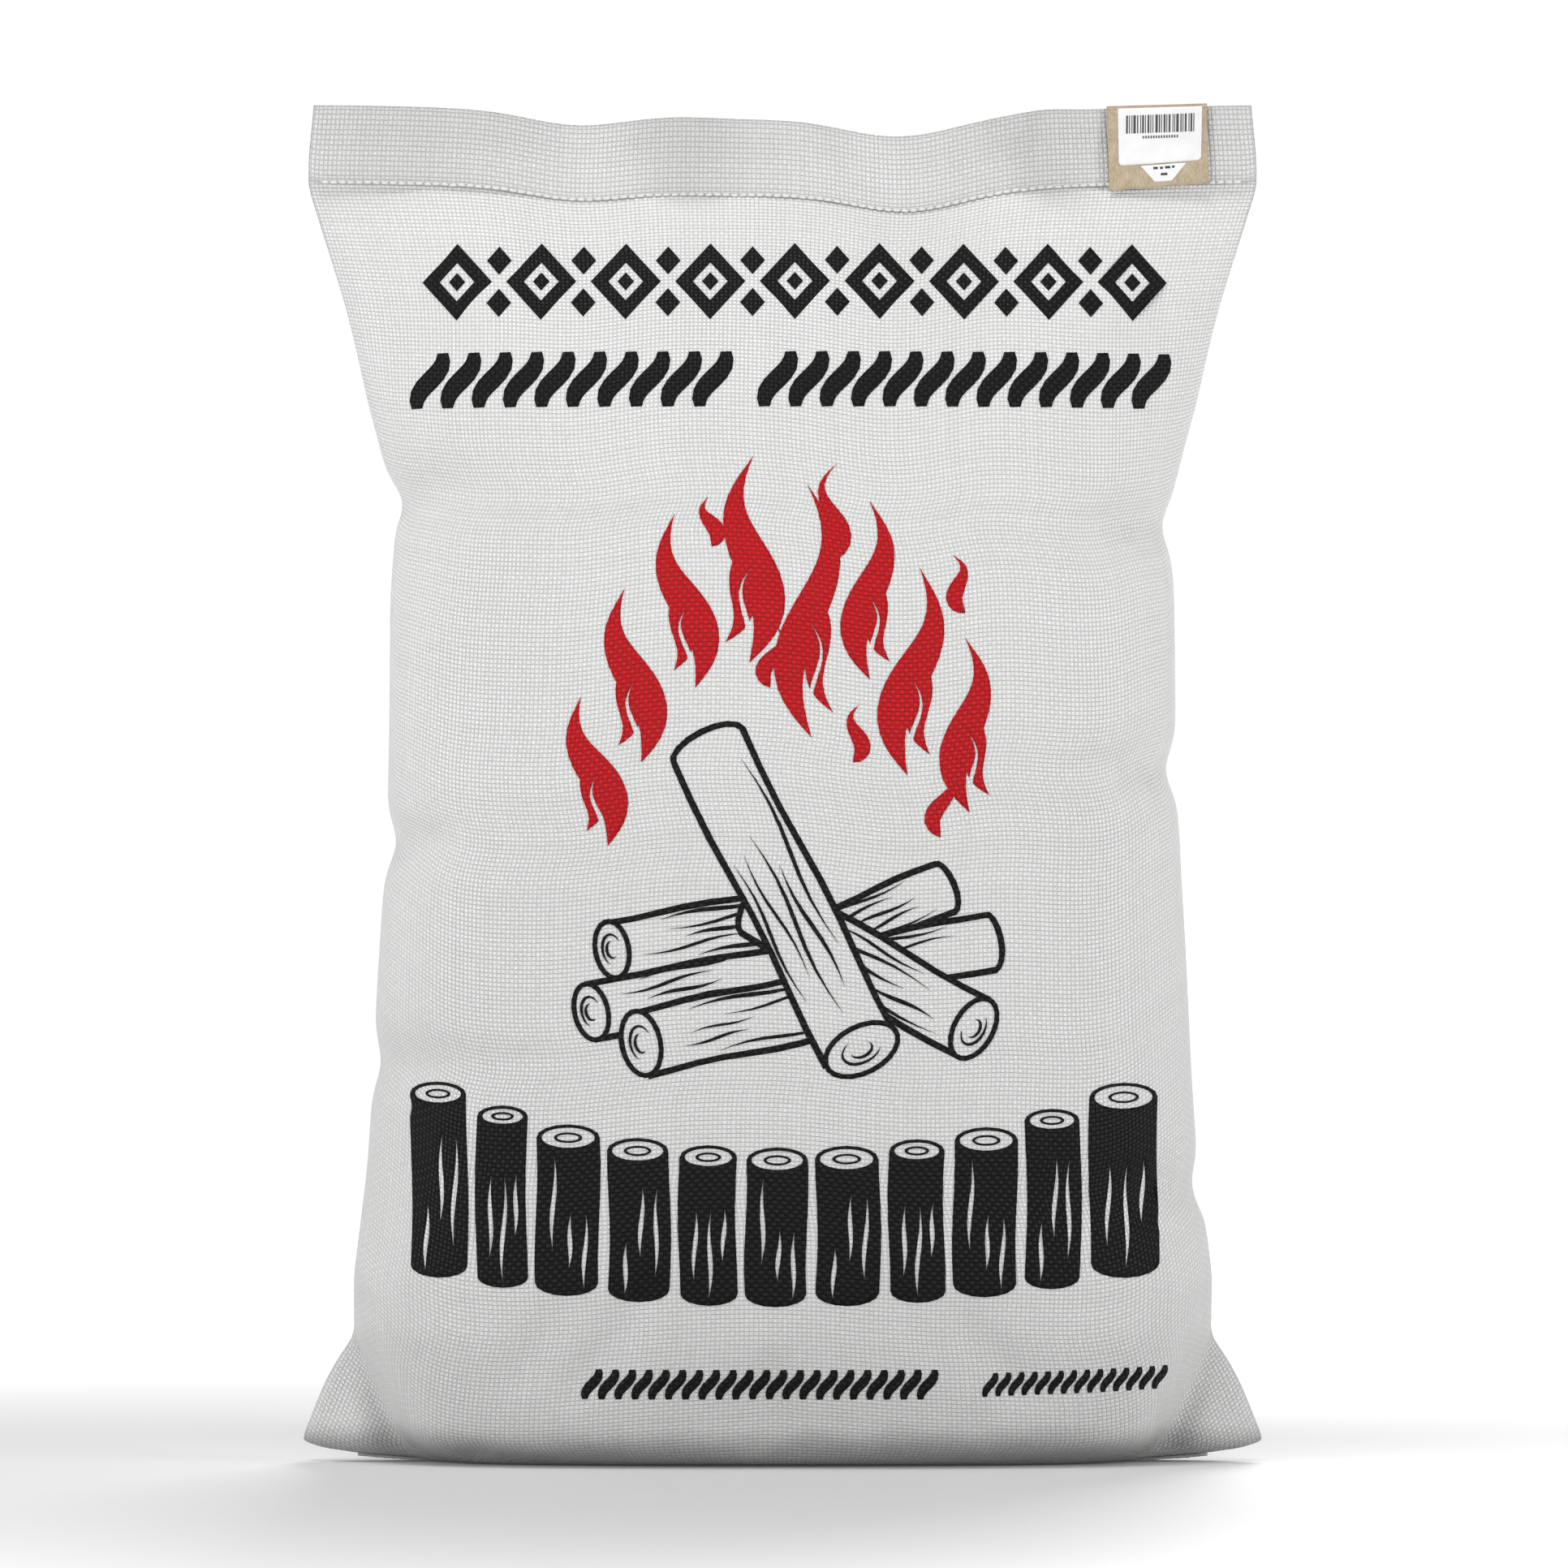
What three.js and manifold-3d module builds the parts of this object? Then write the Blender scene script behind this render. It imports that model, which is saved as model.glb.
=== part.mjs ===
// A filled, sewn-shut woven sack standing on its base: the sack with its folded hem, the chain
// stitched threads that close its mouth and its foot, and a folded kraft tag with two stuck labels.
// Millimetres, +Z up, X across the sack, the front faces -Y. The origin is the middle of the base.
import * as THREE from "three";
import { mergeVertices } from "three/addons/utils/BufferGeometryUtils.js";
import Module from "manifold-3d";

// ---- the sack ----
const HEM_TOP = 652; // height of the hem's corners
const HEM_HEIGHT = 36; // the folded band, from its fold down to the stitches
const HEM_FRONT = 1.7; // two panels and the flap folded to the front
const HEM_BACK = 1.1; // two panels
const HEM_ROUNDING = 0.6; // how much of that thickness is left at the very fold
const EDGE = 0.8; // half the thickness of a folded side edge
const FIN_SLOPE = 1.1; // how fast a flat bottom corner thickens inwards from its tip
const FIN_POWER = 0.86;
const FIN_MAX = 34; // half the thickness of a bottom corner at its root
const FIN_JOIN = 4; // how sharply the corner and the body meet
const FIN_TOP = 70; // how high the bottom corners reach
const BODY_TOP = 66; // from here up the stuffed body fills the whole outline
const WAVE_FADE = 120; // how far below the hem its waves die out
const ACROSS = 35; // points from one side edge to the other
const LEVELS = [0, 1.5, 4, 8, 14, 22, 32, 44, 54, 62, 72, 86, 104, 120, 132, 145, 165, 180, 191, 203, 228,
  260, 284, 297, 310, 332, 352, 385, 420, 441, 452, 463, 480, 505, 530, 555, 575, 592, 604, 612];
const HEM_LEVELS = 4;

// Height, then half the width of the outline there.
const OUTLINE = [[0, 196], [1.6, 218], [4.5, 230], [9, 233], [20, 229], [39, 221], [51, 214], [62, 206.5],
  [74, 206], [86, 208], [109, 205], [150, 200], [250, 196], [332, 192.5], [414, 190.5], [455, 188.5],
  [484, 194.5], [508, 201], [555, 212], [601, 226], [616, 230], [652, 227]];
// Height, then half the width of the stuffed body between its flat corners.
const BODY = [[0, 166], [5, 178], [14, 185], [30, 192], [66, 207]];
// Height, then half the depth at the middle.
const DEPTH = [[0, 46], [1.5, 54], [4, 61], [12, 69], [30, 75], [70, 79], [200, 82.5], [330, 82.5], [449, 76],
  [484, 69], [508, 62.5], [531, 54], [555, 43], [578, 30], [601, 14], [612, 5.5], [616, 2.4]];
// Height, then how square the section is: 1 is a pointed lens, 2.4 a rounded box.
const ROUND = [[0, 2.4], [380, 2.4], [455, 2.1], [520, 1.5], [590, 1.05], [616, 1]];
const FULLNESS = 2.7; // how flat the middle of each face is
// Side, height, depth and reach of the pinches where a side edge is bunched up.
const PINCHES = [[-1, 191, 4, 11], [-1, 297, 4, 12], [-1, 461, 5, 10],
  [1, 131, 5, 11], [1, 332, 4.5, 12], [1, 449, 4, 10]];
// Place along X, reach and size of the waves in the hem: how far it sags and how far it swings back.
const SAGS = [[0, 130, 6.5], [-100, 32, 5], [60, 36, 9]];
const SWINGS = [[-50, 46, 5], [38, 34, -6], [104, 28, 6]];

// ---- the foot seam, laid flat in a groove across the base ----
const GROOVE_LENGTH = 366;
const GROOVE_FRONT = -11;
const GROOVE_BACK = 9;
const GROOVE_HEIGHT = 5;
const SEAM_LOW = 1.4;
const SEAM_HIGH = 3;
const SEAM_END = 7;
const SEAM_ROOT = 2; // how much of the groove's front side holds the folded seam

// ---- threads, tag and labels ----
const THREAD = 0.8;
const THREAD_GAP = 0.5;
const THREAD_RISE = 1.2; // from the lower edge of the band up to the thread
const THREAD_SIDES = 6;
const THREAD_STEP = 10;
const THREAD_POINTS = 30;
const TOP_SEAM_HALF = 224;
const FOOT_SEAM_HALF = 180;
const TAG = { left: 155.5, right: 204, height: 38, tilt: 0.055, thick: 0.6, gap: 0.6, flare: 3.4, rings: 14 };
const BOW = 0.3; // the share of the flare reached half way down the tag
const TAG_TURN = 179.5; // where the slanting lower edge has the tag's nominal height
const LABEL = {
  left: 162, right: 202, drop: 0.6, height: 26.5, tilt: 0.07, thick: 0.25, gap: 0.3, rings: 12,
};
const KEY = {
  x: 183, top: 11.2, foot: 4, drop: 0.5, least: 0.4, height: 8.2, thick: 0.25, gap: 0.5, rings: 13,
};

const gauss = (x, at, reach) => Math.exp(-(((x - at) / reach) ** 2));

function spline(rows) {
  const points = rows.map(([at, value]) => new THREE.Vector2(at, value));
  return (at) => {
    const k = Math.max(0, Math.min(points.length - 2, points.findIndex((p) => p.x > at) - 1));
    const i = at >= points.at(-1).x ? points.length - 2 : k;
    const [a, b] = [points[i], points[i + 1]];
    const slope = (j) => {
      const before = points[Math.max(0, j - 1)];
      const after = points[Math.min(points.length - 1, j + 1)];
      return (after.y - before.y) / (after.x - before.x);
    };
    const run = b.x - a.x;
    const t = Math.max(0, Math.min(1, (at - a.x) / run));
    const [t2, t3] = [t * t, t * t * t];
    return a.y * (2 * t3 - 3 * t2 + 1) + b.y * (3 * t2 - 2 * t3) +
      run * (slope(i) * (t3 - 2 * t2 + t) + slope(i + 1) * (t3 - t2));
  };
}

const outline = spline(OUTLINE);
const bodyWidth = spline(BODY);
const depth = spline(DEPTH);
const roundness = spline(ROUND);

const sag = (x) => SAGS.reduce((sum, [at, reach, size]) => sum + size * gauss(x, at, reach), 0);
const swing = (x) => SWINGS.reduce((sum, [at, reach, size]) => sum + size * gauss(x, at, reach), 0);
const hemTop = (x) => HEM_TOP - sag(x);
const seamHeight = (x) => hemTop(x) - HEM_HEIGHT;

function halfWidth(side, z) {
  const pinched = PINCHES.filter(([s]) => s === side)
    .reduce((sum, [, at, size, reach]) => sum + size * gauss(z, at, reach), 0);
  return outline(z) - pinched;
}

// Half the depth of the stuffed sack at one place, with the flat bottom corners beside the body.
function halfDepth(s, width, z) {
  const body = z < BODY_TOP ? Math.min(bodyWidth(z), width) : width;
  const across = Math.min(1, (Math.abs(s) * width) / body);
  const stuffed = depth(z) * Math.max(0, 1 - across ** FULLNESS) ** (1 / roundness(z));
  const low = Math.max(0, 1 - (z / FIN_TOP) ** 2);
  const inwards = width * Math.max(0, 1 - Math.abs(s));
  const fin = low * Math.min(FIN_MAX, FIN_SLOPE * inwards ** FIN_POWER);
  return Math.max(EDGE, (stuffed ** FIN_JOIN + fin ** FIN_JOIN) ** (1 / FIN_JOIN));
}

// A loft through closed rings. Each ring lists one side's points, then the other side's in reverse,
// and both ends are closed by strips between the two sides.
function loft(rings) {
  const n = rings[0].length;
  const index = [];
  const quad = (a, b, c, d) => index.push(a, b, c, a, c, d);
  rings.slice(1).forEach((_, r) => {
    for (let i = 0; i < n; i += 1) {
      const j = (i + 1) % n;
      quad(r * n + i, r * n + j, (r + 1) * n + j, (r + 1) * n + i);
    }
  });
  const last = (rings.length - 1) * n;
  for (let i = 0; i < n / 2 - 1; i += 1) {
    quad(i, n - 1 - i, n - 2 - i, i + 1);
    quad(last + i, last + i + 1, last + n - 2 - i, last + n - 1 - i);
  }
  const geometry = new THREE.BufferGeometry();
  geometry.setAttribute("position", new THREE.Float32BufferAttribute(rings.flat(2), 3));
  geometry.setIndex(index);
  return geometry;
}

const wasm = await Module();
wasm.setup();

function toSolid(geometry) {
  const bare = geometry.clone();
  bare.deleteAttribute("normal");
  bare.deleteAttribute("uv");
  const merged = mergeVertices(bare, 1e-4);
  return new wasm.Manifold(new wasm.Mesh({
    numProp: 3,
    vertProperties: merged.attributes.position.array,
    triVerts: new Uint32Array(merged.index.array),
  }));
}

function toGeometry(solid) {
  const { vertProperties, triVerts } = solid.getMesh();
  const geometry = new THREE.BufferGeometry();
  geometry.setAttribute("position", new THREE.BufferAttribute(vertProperties, 3));
  geometry.setIndex(new THREE.BufferAttribute(triVerts, 1));
  geometry.computeVertexNormals();
  return geometry;
}

function box(x0, x1, y0, y1, z0, z1) {
  const geometry = new THREE.BoxGeometry(x1 - x0, y1 - y0, z1 - z0);
  return toSolid(geometry.translate((x0 + x1) / 2, (y0 + y1) / 2, (z0 + z1) / 2));
}

const shares = Array.from({ length: ACROSS }, (_, i) => -Math.cos((Math.PI * i) / (ACROSS - 1)));
const widthAt = (s, z) => (s < 0 ? halfWidth(-1, z) : halfWidth(1, z));

function bodyRing(z) {
  const near = Math.max(0, 1 - (HEM_TOP - HEM_HEIGHT - z) / WAVE_FADE);
  const fade = near * near * (3 - 2 * near);
  const side = (s, toBack) => {
    const width = widthAt(s, z);
    const x = s * width;
    const y = fade * swing(x) + toBack * halfDepth(s, width, z);
    return [x, y, z - fade * sag(x)];
  };
  return [...shares.map((s) => side(s, -1)), ...shares.map((s) => side(s, 1)).reverse()];
}

function hemRing(share) {
  const z = HEM_TOP - HEM_HEIGHT * (1 - share);
  const rounded = share === 1 ? HEM_ROUNDING : 1;
  const side = (s, thick) => {
    const x = s * widthAt(s, z);
    return [x, swing(x) + thick * rounded, seamHeight(x) + share * HEM_HEIGHT];
  };
  const front = shares.map((s) => side(s, -HEM_FRONT));
  return [...front, ...shares.map((s) => side(s, HEM_BACK)).reverse()];
}

// The foot seam lies in a groove, folded over and joined to the sack along its front side only.
function footGroove() {
  const half = GROOVE_LENGTH / 2;
  const below = box(-half, half, GROOVE_FRONT, GROOVE_BACK, -1, SEAM_LOW);
  const behind = box(-half, half, SEAM_END, GROOVE_BACK, -1, GROOVE_HEIGHT);
  const above = box(-half, half, GROOVE_FRONT + SEAM_ROOT, GROOVE_BACK, SEAM_HIGH, GROOVE_HEIGHT);
  return below.add(behind).add(above);
}

function sackBody() {
  const hem = Array.from({ length: HEM_LEVELS }, (_, i) => hemRing(i / (HEM_LEVELS - 1)));
  const rings = [...LEVELS.map(bodyRing), ...hem];
  return toGeometry(toSolid(loft(rings)).subtract(footGroove()));
}

function thread(points) {
  const section = new THREE.Shape().absarc(0, 0, THREAD / 2, 0, 2 * Math.PI);
  const corners = new THREE.Shape(section.getPoints(THREAD_SIDES).slice(0, THREAD_SIDES));
  const path = new THREE.CatmullRomCurve3(points);
  const bends = points.length > 3;
  const steps = bends ? Math.round(path.getLength() / THREAD_STEP) : 2;
  return new THREE.ExtrudeGeometry(corners, { steps, extrudePath: path });
}

function topThread(toBack) {
  const off = (toBack > 0 ? HEM_BACK : HEM_FRONT) + THREAD_GAP + THREAD / 2;
  const at = (i) => {
    const x = TOP_SEAM_HALF * ((2 * i) / (THREAD_POINTS - 1) - 1);
    return new THREE.Vector3(x, swing(x) + toBack * off, seamHeight(x) + THREAD_RISE);
  };
  return thread(Array.from({ length: THREAD_POINTS }, (_, i) => at(i)));
}

function footThread(z) {
  const y = (GROOVE_FRONT + SEAM_END) / 2;
  return thread([-1, 0, 1].map((s) => new THREE.Vector3(s * FOOT_SEAM_HALF, y, z)));
}

// A thin sheet folded over the hem, as a ring of its inner then outer outline at one place along X.
function tagRing(x) {
  const top = hemTop(x) + TAG.gap;
  const foot = hemTop(x) - TAG.height + TAG.tilt * (x - TAG_TURN);
  const middle = swing(x);
  const profile = (thick) => {
    const front = middle - HEM_FRONT - TAG.gap - thick;
    const back = middle + HEM_BACK + TAG.gap + thick;
    const corner = 0.5 * (TAG.gap + thick);
    return [
      [x, front - TAG.flare, foot],
      [x, front - BOW * TAG.flare, (foot + top) / 2],
      [x, front, top + thick - corner],
      [x, front + corner, top + thick],
      [x, back - corner, top + thick],
      [x, back, top + thick - corner],
      [x, back + BOW * TAG.flare, (foot + top) / 2],
      [x, back + TAG.flare, foot],
    ];
  };
  return [...profile(0), ...profile(TAG.thick).reverse()];
}

// The front of the folded tag at a place along X and a height.
function tagFace(x, z) {
  const top = hemTop(x) + TAG.gap;
  const foot = hemTop(x) - TAG.height + TAG.tilt * (x - TAG_TURN);
  const middle = (top + foot) / 2;
  const flat = swing(x) - HEM_FRONT - TAG.gap - TAG.thick;
  const down = z > middle
    ? BOW * (top - z) / (top - middle)
    : BOW + (1 - BOW) * (middle - z) / (middle - foot);
  return flat - TAG.flare * Math.max(0, Math.min(1, down));
}

const between = (a, b, count) => Array.from({ length: count }, (_, i) => a + ((b - a) * i) / (count - 1));

// A label stuck on the tag's front, as a ring at one place along X between a low and a high edge.
function labelRing(x, low, high, gap, thick) {
  const heights = between(low, high, 6);
  const line = (off) => heights.map((z) => [x, tagFace(x, z) - off, z]);
  return [...line(gap), ...line(gap + thick).reverse()];
}

const labelFoot = (x) => HEM_TOP - LABEL.height + LABEL.tilt * (x - LABEL.right);

function barcodeLabel() {
  const rings = between(LABEL.left, LABEL.right, LABEL.rings)
    .map((x) => labelRing(x, labelFoot(x), hemTop(x) - LABEL.drop, LABEL.gap, LABEL.thick));
  return loft(rings);
}

function keystoneLabel() {
  const rings = between(-KEY.top, KEY.top, KEY.rings).map((u) => {
    const high = labelFoot(KEY.x + u) - KEY.drop;
    const slope = Math.min(1, (KEY.top - Math.abs(u)) / (KEY.top - KEY.foot));
    return labelRing(KEY.x + u, high - KEY.least - KEY.height * slope, high, KEY.gap, KEY.thick);
  });
  return loft(rings);
}

function mesh(name, geometry, color, roughness) {
  const material = new THREE.MeshStandardMaterial({ color, roughness, metalness: 0 });
  const made = new THREE.Mesh(geometry, material);
  made.name = name;
  return made;
}

const group = new THREE.Group();
const tag = loft(between(TAG.left, TAG.right, TAG.rings).map(tagRing));
const seamMiddle = (SEAM_HIGH + GROOVE_HEIGHT) / 2;
group.add(
  mesh("sack_body", sackBody(), 0xdcdcdb, 0.55),
  mesh("top_needle_thread", topThread(-1), 0xeeebe2, 0.8),
  mesh("top_looper_thread", topThread(1), 0xeeebe2, 0.8),
  mesh("foot_needle_thread", footThread(SEAM_LOW / 2), 0xeeebe2, 0.8),
  mesh("foot_looper_thread", footThread(seamMiddle), 0xeeebe2, 0.8),
  mesh("kraft_tag", tag, 0xbfaa8c, 0.85),
  mesh("barcode_label", barcodeLabel(), 0xebebeb, 0.5),
  mesh("keystone_label", keystoneLabel(), 0xf2f2f2, 0.5),
);

export default group;
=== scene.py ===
# %% [markdown]
# # A filled woven sack, sewn shut
# The real object is a tube of woven polypropylene tape, filled with split wood. Its foot is folded and
# sewn, and its mouth is folded once to the front and closed with a double chain stitch, so there is a
# flat hem across the top. A brown card tag is folded over the hem. This lesson starts from the packed
# CAD frame, gives the cloth its real folds by simulation, and prints, sews and labels it.

# %% Load the frame, and keep its box
import math

import bmesh
import bpy
import numpy as np
from mathutils import Matrix, Vector, geometry, noise
from mathutils.bvhtree import BVHTree


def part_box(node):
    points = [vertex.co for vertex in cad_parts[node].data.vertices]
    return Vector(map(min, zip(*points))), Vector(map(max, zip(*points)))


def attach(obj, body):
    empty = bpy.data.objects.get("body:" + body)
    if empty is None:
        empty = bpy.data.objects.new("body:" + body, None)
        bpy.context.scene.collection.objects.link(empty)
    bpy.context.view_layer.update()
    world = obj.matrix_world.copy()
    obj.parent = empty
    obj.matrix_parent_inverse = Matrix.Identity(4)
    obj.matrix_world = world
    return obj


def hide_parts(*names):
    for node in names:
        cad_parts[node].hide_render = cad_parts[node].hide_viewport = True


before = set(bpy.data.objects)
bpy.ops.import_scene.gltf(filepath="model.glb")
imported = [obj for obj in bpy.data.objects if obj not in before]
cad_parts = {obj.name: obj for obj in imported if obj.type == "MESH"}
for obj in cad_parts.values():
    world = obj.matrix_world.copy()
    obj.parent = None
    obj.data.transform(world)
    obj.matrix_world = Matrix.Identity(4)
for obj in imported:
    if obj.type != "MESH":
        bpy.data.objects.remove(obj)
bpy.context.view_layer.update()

SACK_LOW, SACK_HIGH = (Vector(p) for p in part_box("sack_body"))
TAG_LOW, TAG_HIGH = (Vector(p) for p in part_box("kraft_tag"))
MM = 0.001  # a millimetre, in Blender's metres
print("sack", [round(v * 1000) for v in SACK_HIGH - SACK_LOW], "mm")

# %% [markdown]
# ## The camera and the light
# A long lens far away keeps the sides of the sack nearly parallel. The camera comes first, because
# everything after it is judged through it. Four soft panels light the sack: one above and in front
# makes the cloth under the hem the brightest part, one at each side shows up its folds, and one lights
# the back. A bare lamp or a sun would draw hard shadows, which flatten a white weave.

# %% Camera
VIEW_HEIGHT = 0.7547  # metres seen from top to bottom of the picture at the sack
CAMERA_AWAY = 5.0
EYE_LEVEL = 325.7
SENSOR = 36
camera_data = bpy.data.cameras.new("camera")
camera_data.sensor_width = SENSOR
camera_data.lens = SENSOR * CAMERA_AWAY / VIEW_HEIGHT
camera = bpy.data.objects.new("camera", camera_data)
camera.location = (0.7 * MM, -CAMERA_AWAY, EYE_LEVEL * MM)
camera.rotation_euler = (math.pi / 2, 0, 0)
bpy.context.collection.objects.link(camera)
bpy.context.scene.camera = camera
print("lens", round(camera_data.lens), "mm at", CAMERA_AWAY, "m")

# %% Lights
def area_light(name, place, target, size, power):
    """A soft panel that faces the target."""
    data = bpy.data.lights.new(name, "AREA")
    data.shape = "RECTANGLE"
    data.size, data.size_y = size
    data.energy = power
    lamp = bpy.data.objects.new(name, data)
    lamp.location = place
    lamp.rotation_euler = (Vector(target) - Vector(place)).to_track_quat("-Z", "Y").to_euler()
    bpy.context.collection.objects.link(lamp)
    print(name, power, "W")


area_light("top_panel", (-0.2, -0.7, 2.2), (0, 0, 0.35), (0.9, 0.6), 22)
area_light("left_panel", (-2.2, -1.25, 0.6), (0, 0, 0.15), (0.7, 0.9), 29)
area_light("right_panel", (2.2, -1.15, 0.6), (0, 0, 0.15), (0.7, 0.9), 29)
area_light("rear_panel", (0.5, 2.2, 1.5), (0, 0, 0.25), (1.2, 0.9), 34)

# %% [markdown]
# ## The surround and the floor
# A white sack stands before white, but white light from all round would leave it with no shading. So
# the surround is white only where an eye looks, in a low band at the horizon and behind the sack, and
# about a quarter as bright elsewhere. The floor does the same: near the sack it is pale paint
# that takes a soft shadow, and further away it glows until it meets the horizon with no line.

# %% The surround
def smooth_step(tree, value, low, high, to_low, to_high):
    """Turns a value between low and high into one between to_low and to_high, in any node tree."""
    node = tree.nodes.new("ShaderNodeMapRange")
    node.interpolation_type = "SMOOTHSTEP"
    tree.links.new(value, node.inputs["Value"])
    for socket, given in zip(("From Min", "From Max", "To Min", "To Max"), (low, high, to_low, to_high)):
        if isinstance(given, bpy.types.NodeSocket):
            tree.links.new(given, node.inputs[socket])
        else:
            node.inputs[socket].default_value = given
    return node.outputs["Result"]


HORIZON, OVERHEAD, SIDES, BEHIND_EYE = 1.03, 0.25, 0.25, 0.3
world = bpy.data.worlds.new("surround")
world.use_nodes = True
sky = world.node_tree
facing = sky.nodes.new("ShaderNodeSeparateXYZ")
sky.links.new(sky.nodes.new("ShaderNodeTexCoord").outputs["Generated"], facing.inputs[0])
to_back, upwards = facing.outputs["Y"], facing.outputs["Z"]
near_half = smooth_step(sky, to_back, -0.95, -0.2, BEHIND_EYE, SIDES)
around = smooth_step(sky, to_back, 0.2, 0.95, near_half, HORIZON)
above = smooth_step(sky, upwards, 0.12, 0.6, around, OVERHEAD)
overall = smooth_step(sky, upwards, 0.08, 0.1, HORIZON, above)
sky.links.new(overall, sky.nodes["Background"].inputs["Strength"])
sky.nodes["Background"].inputs["Color"].default_value = (1, 1, 1, 1)
bpy.context.scene.world = world
bpy.context.scene.view_settings.view_transform = "Standard"
print("surround", len(sky.nodes), "nodes")

# %% The floor
FLOOR_HALF = 60
FLOOR_TONE = 0.66
GLOW_FROM, GLOW_TO = 0.3, 1.6  # metres from the sack's middle
GLOW_NEAR, GLOW_FAR = 0.03, 0.8
sheet = bmesh.new()
bmesh.ops.create_grid(sheet, x_segments=1, y_segments=1, size=FLOOR_HALF)
floor_mesh = bpy.data.meshes.new("floor")
sheet.to_mesh(floor_mesh)
sheet.free()
floor = bpy.data.objects.new("floor", floor_mesh)
bpy.context.collection.objects.link(floor)
floor_paint = bpy.data.materials.new("floor_paint")
floor_paint.use_nodes = True
paint = floor_paint.node_tree
floor_shader = paint.nodes["Principled BSDF"]
floor_shader.inputs["Base Color"].default_value = (FLOOR_TONE, FLOOR_TONE, FLOOR_TONE, 1)
floor_shader.inputs["Roughness"].default_value = 0.6
floor_shader.inputs["Emission Color"].default_value = (1, 1, 1, 1)
away = paint.nodes.new("ShaderNodeVectorMath")
away.operation = "LENGTH"
paint.links.new(paint.nodes.new("ShaderNodeTexCoord").outputs["Object"], away.inputs[0])
glow = smooth_step(paint, away.outputs["Value"], GLOW_FROM, GLOW_TO, GLOW_NEAR, GLOW_FAR)
paint.links.new(glow, floor_shader.inputs["Emission Strength"])
floor.data.materials.append(floor_paint)
print("floor", 2 * FLOOR_HALF, "m across")

# %% [markdown]
# ## The outline of the sack
# Each short table gives one measure against the height, and a smooth curve runs through it, just as a
# tailor's block gives widths at a few heights.

# %% Measures against the height, in millimetres
HEM_HEIGHT = 36
HEM_TOP = SACK_HIGH.z / MM
# Height, then half the width of the outline.
OUTLINE = [(0, 196), (1.6, 218), (4.5, 230), (9, 233), (20, 229), (39, 221), (51, 214), (62, 206.5),
           (74, 206), (86, 208), (109, 205), (150, 200), (250, 196), (332, 192.5), (414, 190.5),
           (455, 188.5), (484, 194.5), (508, 201), (555, 212), (601, 226), (616, 230), (652, 227)]
# Height, then half the width of the stuffed body between its flat corners.
BODY = [(0, 166), (5, 178), (14, 185), (30, 192), (66, 207)]
# Height, then half the depth at the middle.
DEPTH = [(0, 38), (1.5, 46), (5, 55), (14, 65), (30, 73), (70, 80), (200, 82.5), (330, 82.5), (449, 76),
         (484, 69), (508, 62.5), (531, 54), (555, 43), (578, 30), (601, 14), (612, 5.5), (616, 2.4)]
# Height, then how square the section is: 1 is a pointed lens, 3 a rounded box.
ROUND = [(0, 3.0), (60, 2.9), (120, 2.4), (380, 2.4), (455, 2.1), (520, 1.5), (590, 1.05), (616, 1)]
# Side, height, depth and reach of the places where a side edge is bunched up.
PINCHES = [(-1, 191, 4, 11), (-1, 297, 4, 12), (-1, 461, 5, 10),
           (1, 131, 5, 11), (1, 332, 4.5, 12), (1, 449, 4, 10)]
# Side, height, distance in from the side edge, reach along and up, and depth of the soft dents. The
# last two rows are the creases where the flat bottom corners leave the stuffed body.
DENTS = [(1, 447, 24, 18, 15, 7), (-1, 468, 28, 30, 18, 6), (-1, 425, 12, 14, 18, 4),
         (1, 332, 10, 24, 14, 4), (-1, 297, 12, 22, 12, 4), (-1, 191, 10, 20, 12, 4),
         (1, 131, 10, 20, 12, 4), (1, 250, 40, 22, 70, 2.5), (-1, 370, 46, 22, 60, 2.5),
         (1, 560, 34, 26, 60, 4), (-1, 570, 30, 24, 60, 4),
         (-1, 48, 17, 8, 13, 5), (-1, 29, 33, 8, 12, 6), (-1, 10, 47, 8, 12, 6),
         (1, 48, 17, 8, 13, 5), (1, 29, 33, 8, 12, 6), (1, 10, 47, 8, 12, 6)]
# Place along the hem, reach and size: how far it sags, and how far it swings back.
SAGS = [(0, 130, 6.5), (-100, 32, 5), (60, 36, 9)]
SWINGS = [(-50, 46, 5), (38, 34, -6), (104, 28, 6)]
# Place, reach and slope of the hem's lean: its fold goes back where the slope is positive.
LEAN = -0.2
LEANS = [(-195, 50, -0.25), (-100, 24, 0.36), (-48, 22, -0.34), (38, 26, 0.62),
         (125, 14, -0.52), (215, 24, -0.2)]
FULLNESS = 2.7  # how flat the middle of each face is
# The flat bottom corners: how they thicken inwards from the side edge, the most they reach, how
# sharply they meet the stuffed body, and how high they go.
FIN_SLOPE, FIN_POWER, FIN_MAX, FIN_JOIN, FIN_TOP = 0.85, 0.8, 13, 12, 72
BODY_TOP = FIN_TOP - 4  # from here up the stuffed body fills the whole outline
WAVE_FADE = 120  # how far below the hem its waves die out
EDGE = 0.8  # half the thickness of a folded side edge
print("outline", len(OUTLINE), "heights,", len(PINCHES), "pinches,", len(DENTS), "dents")


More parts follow.
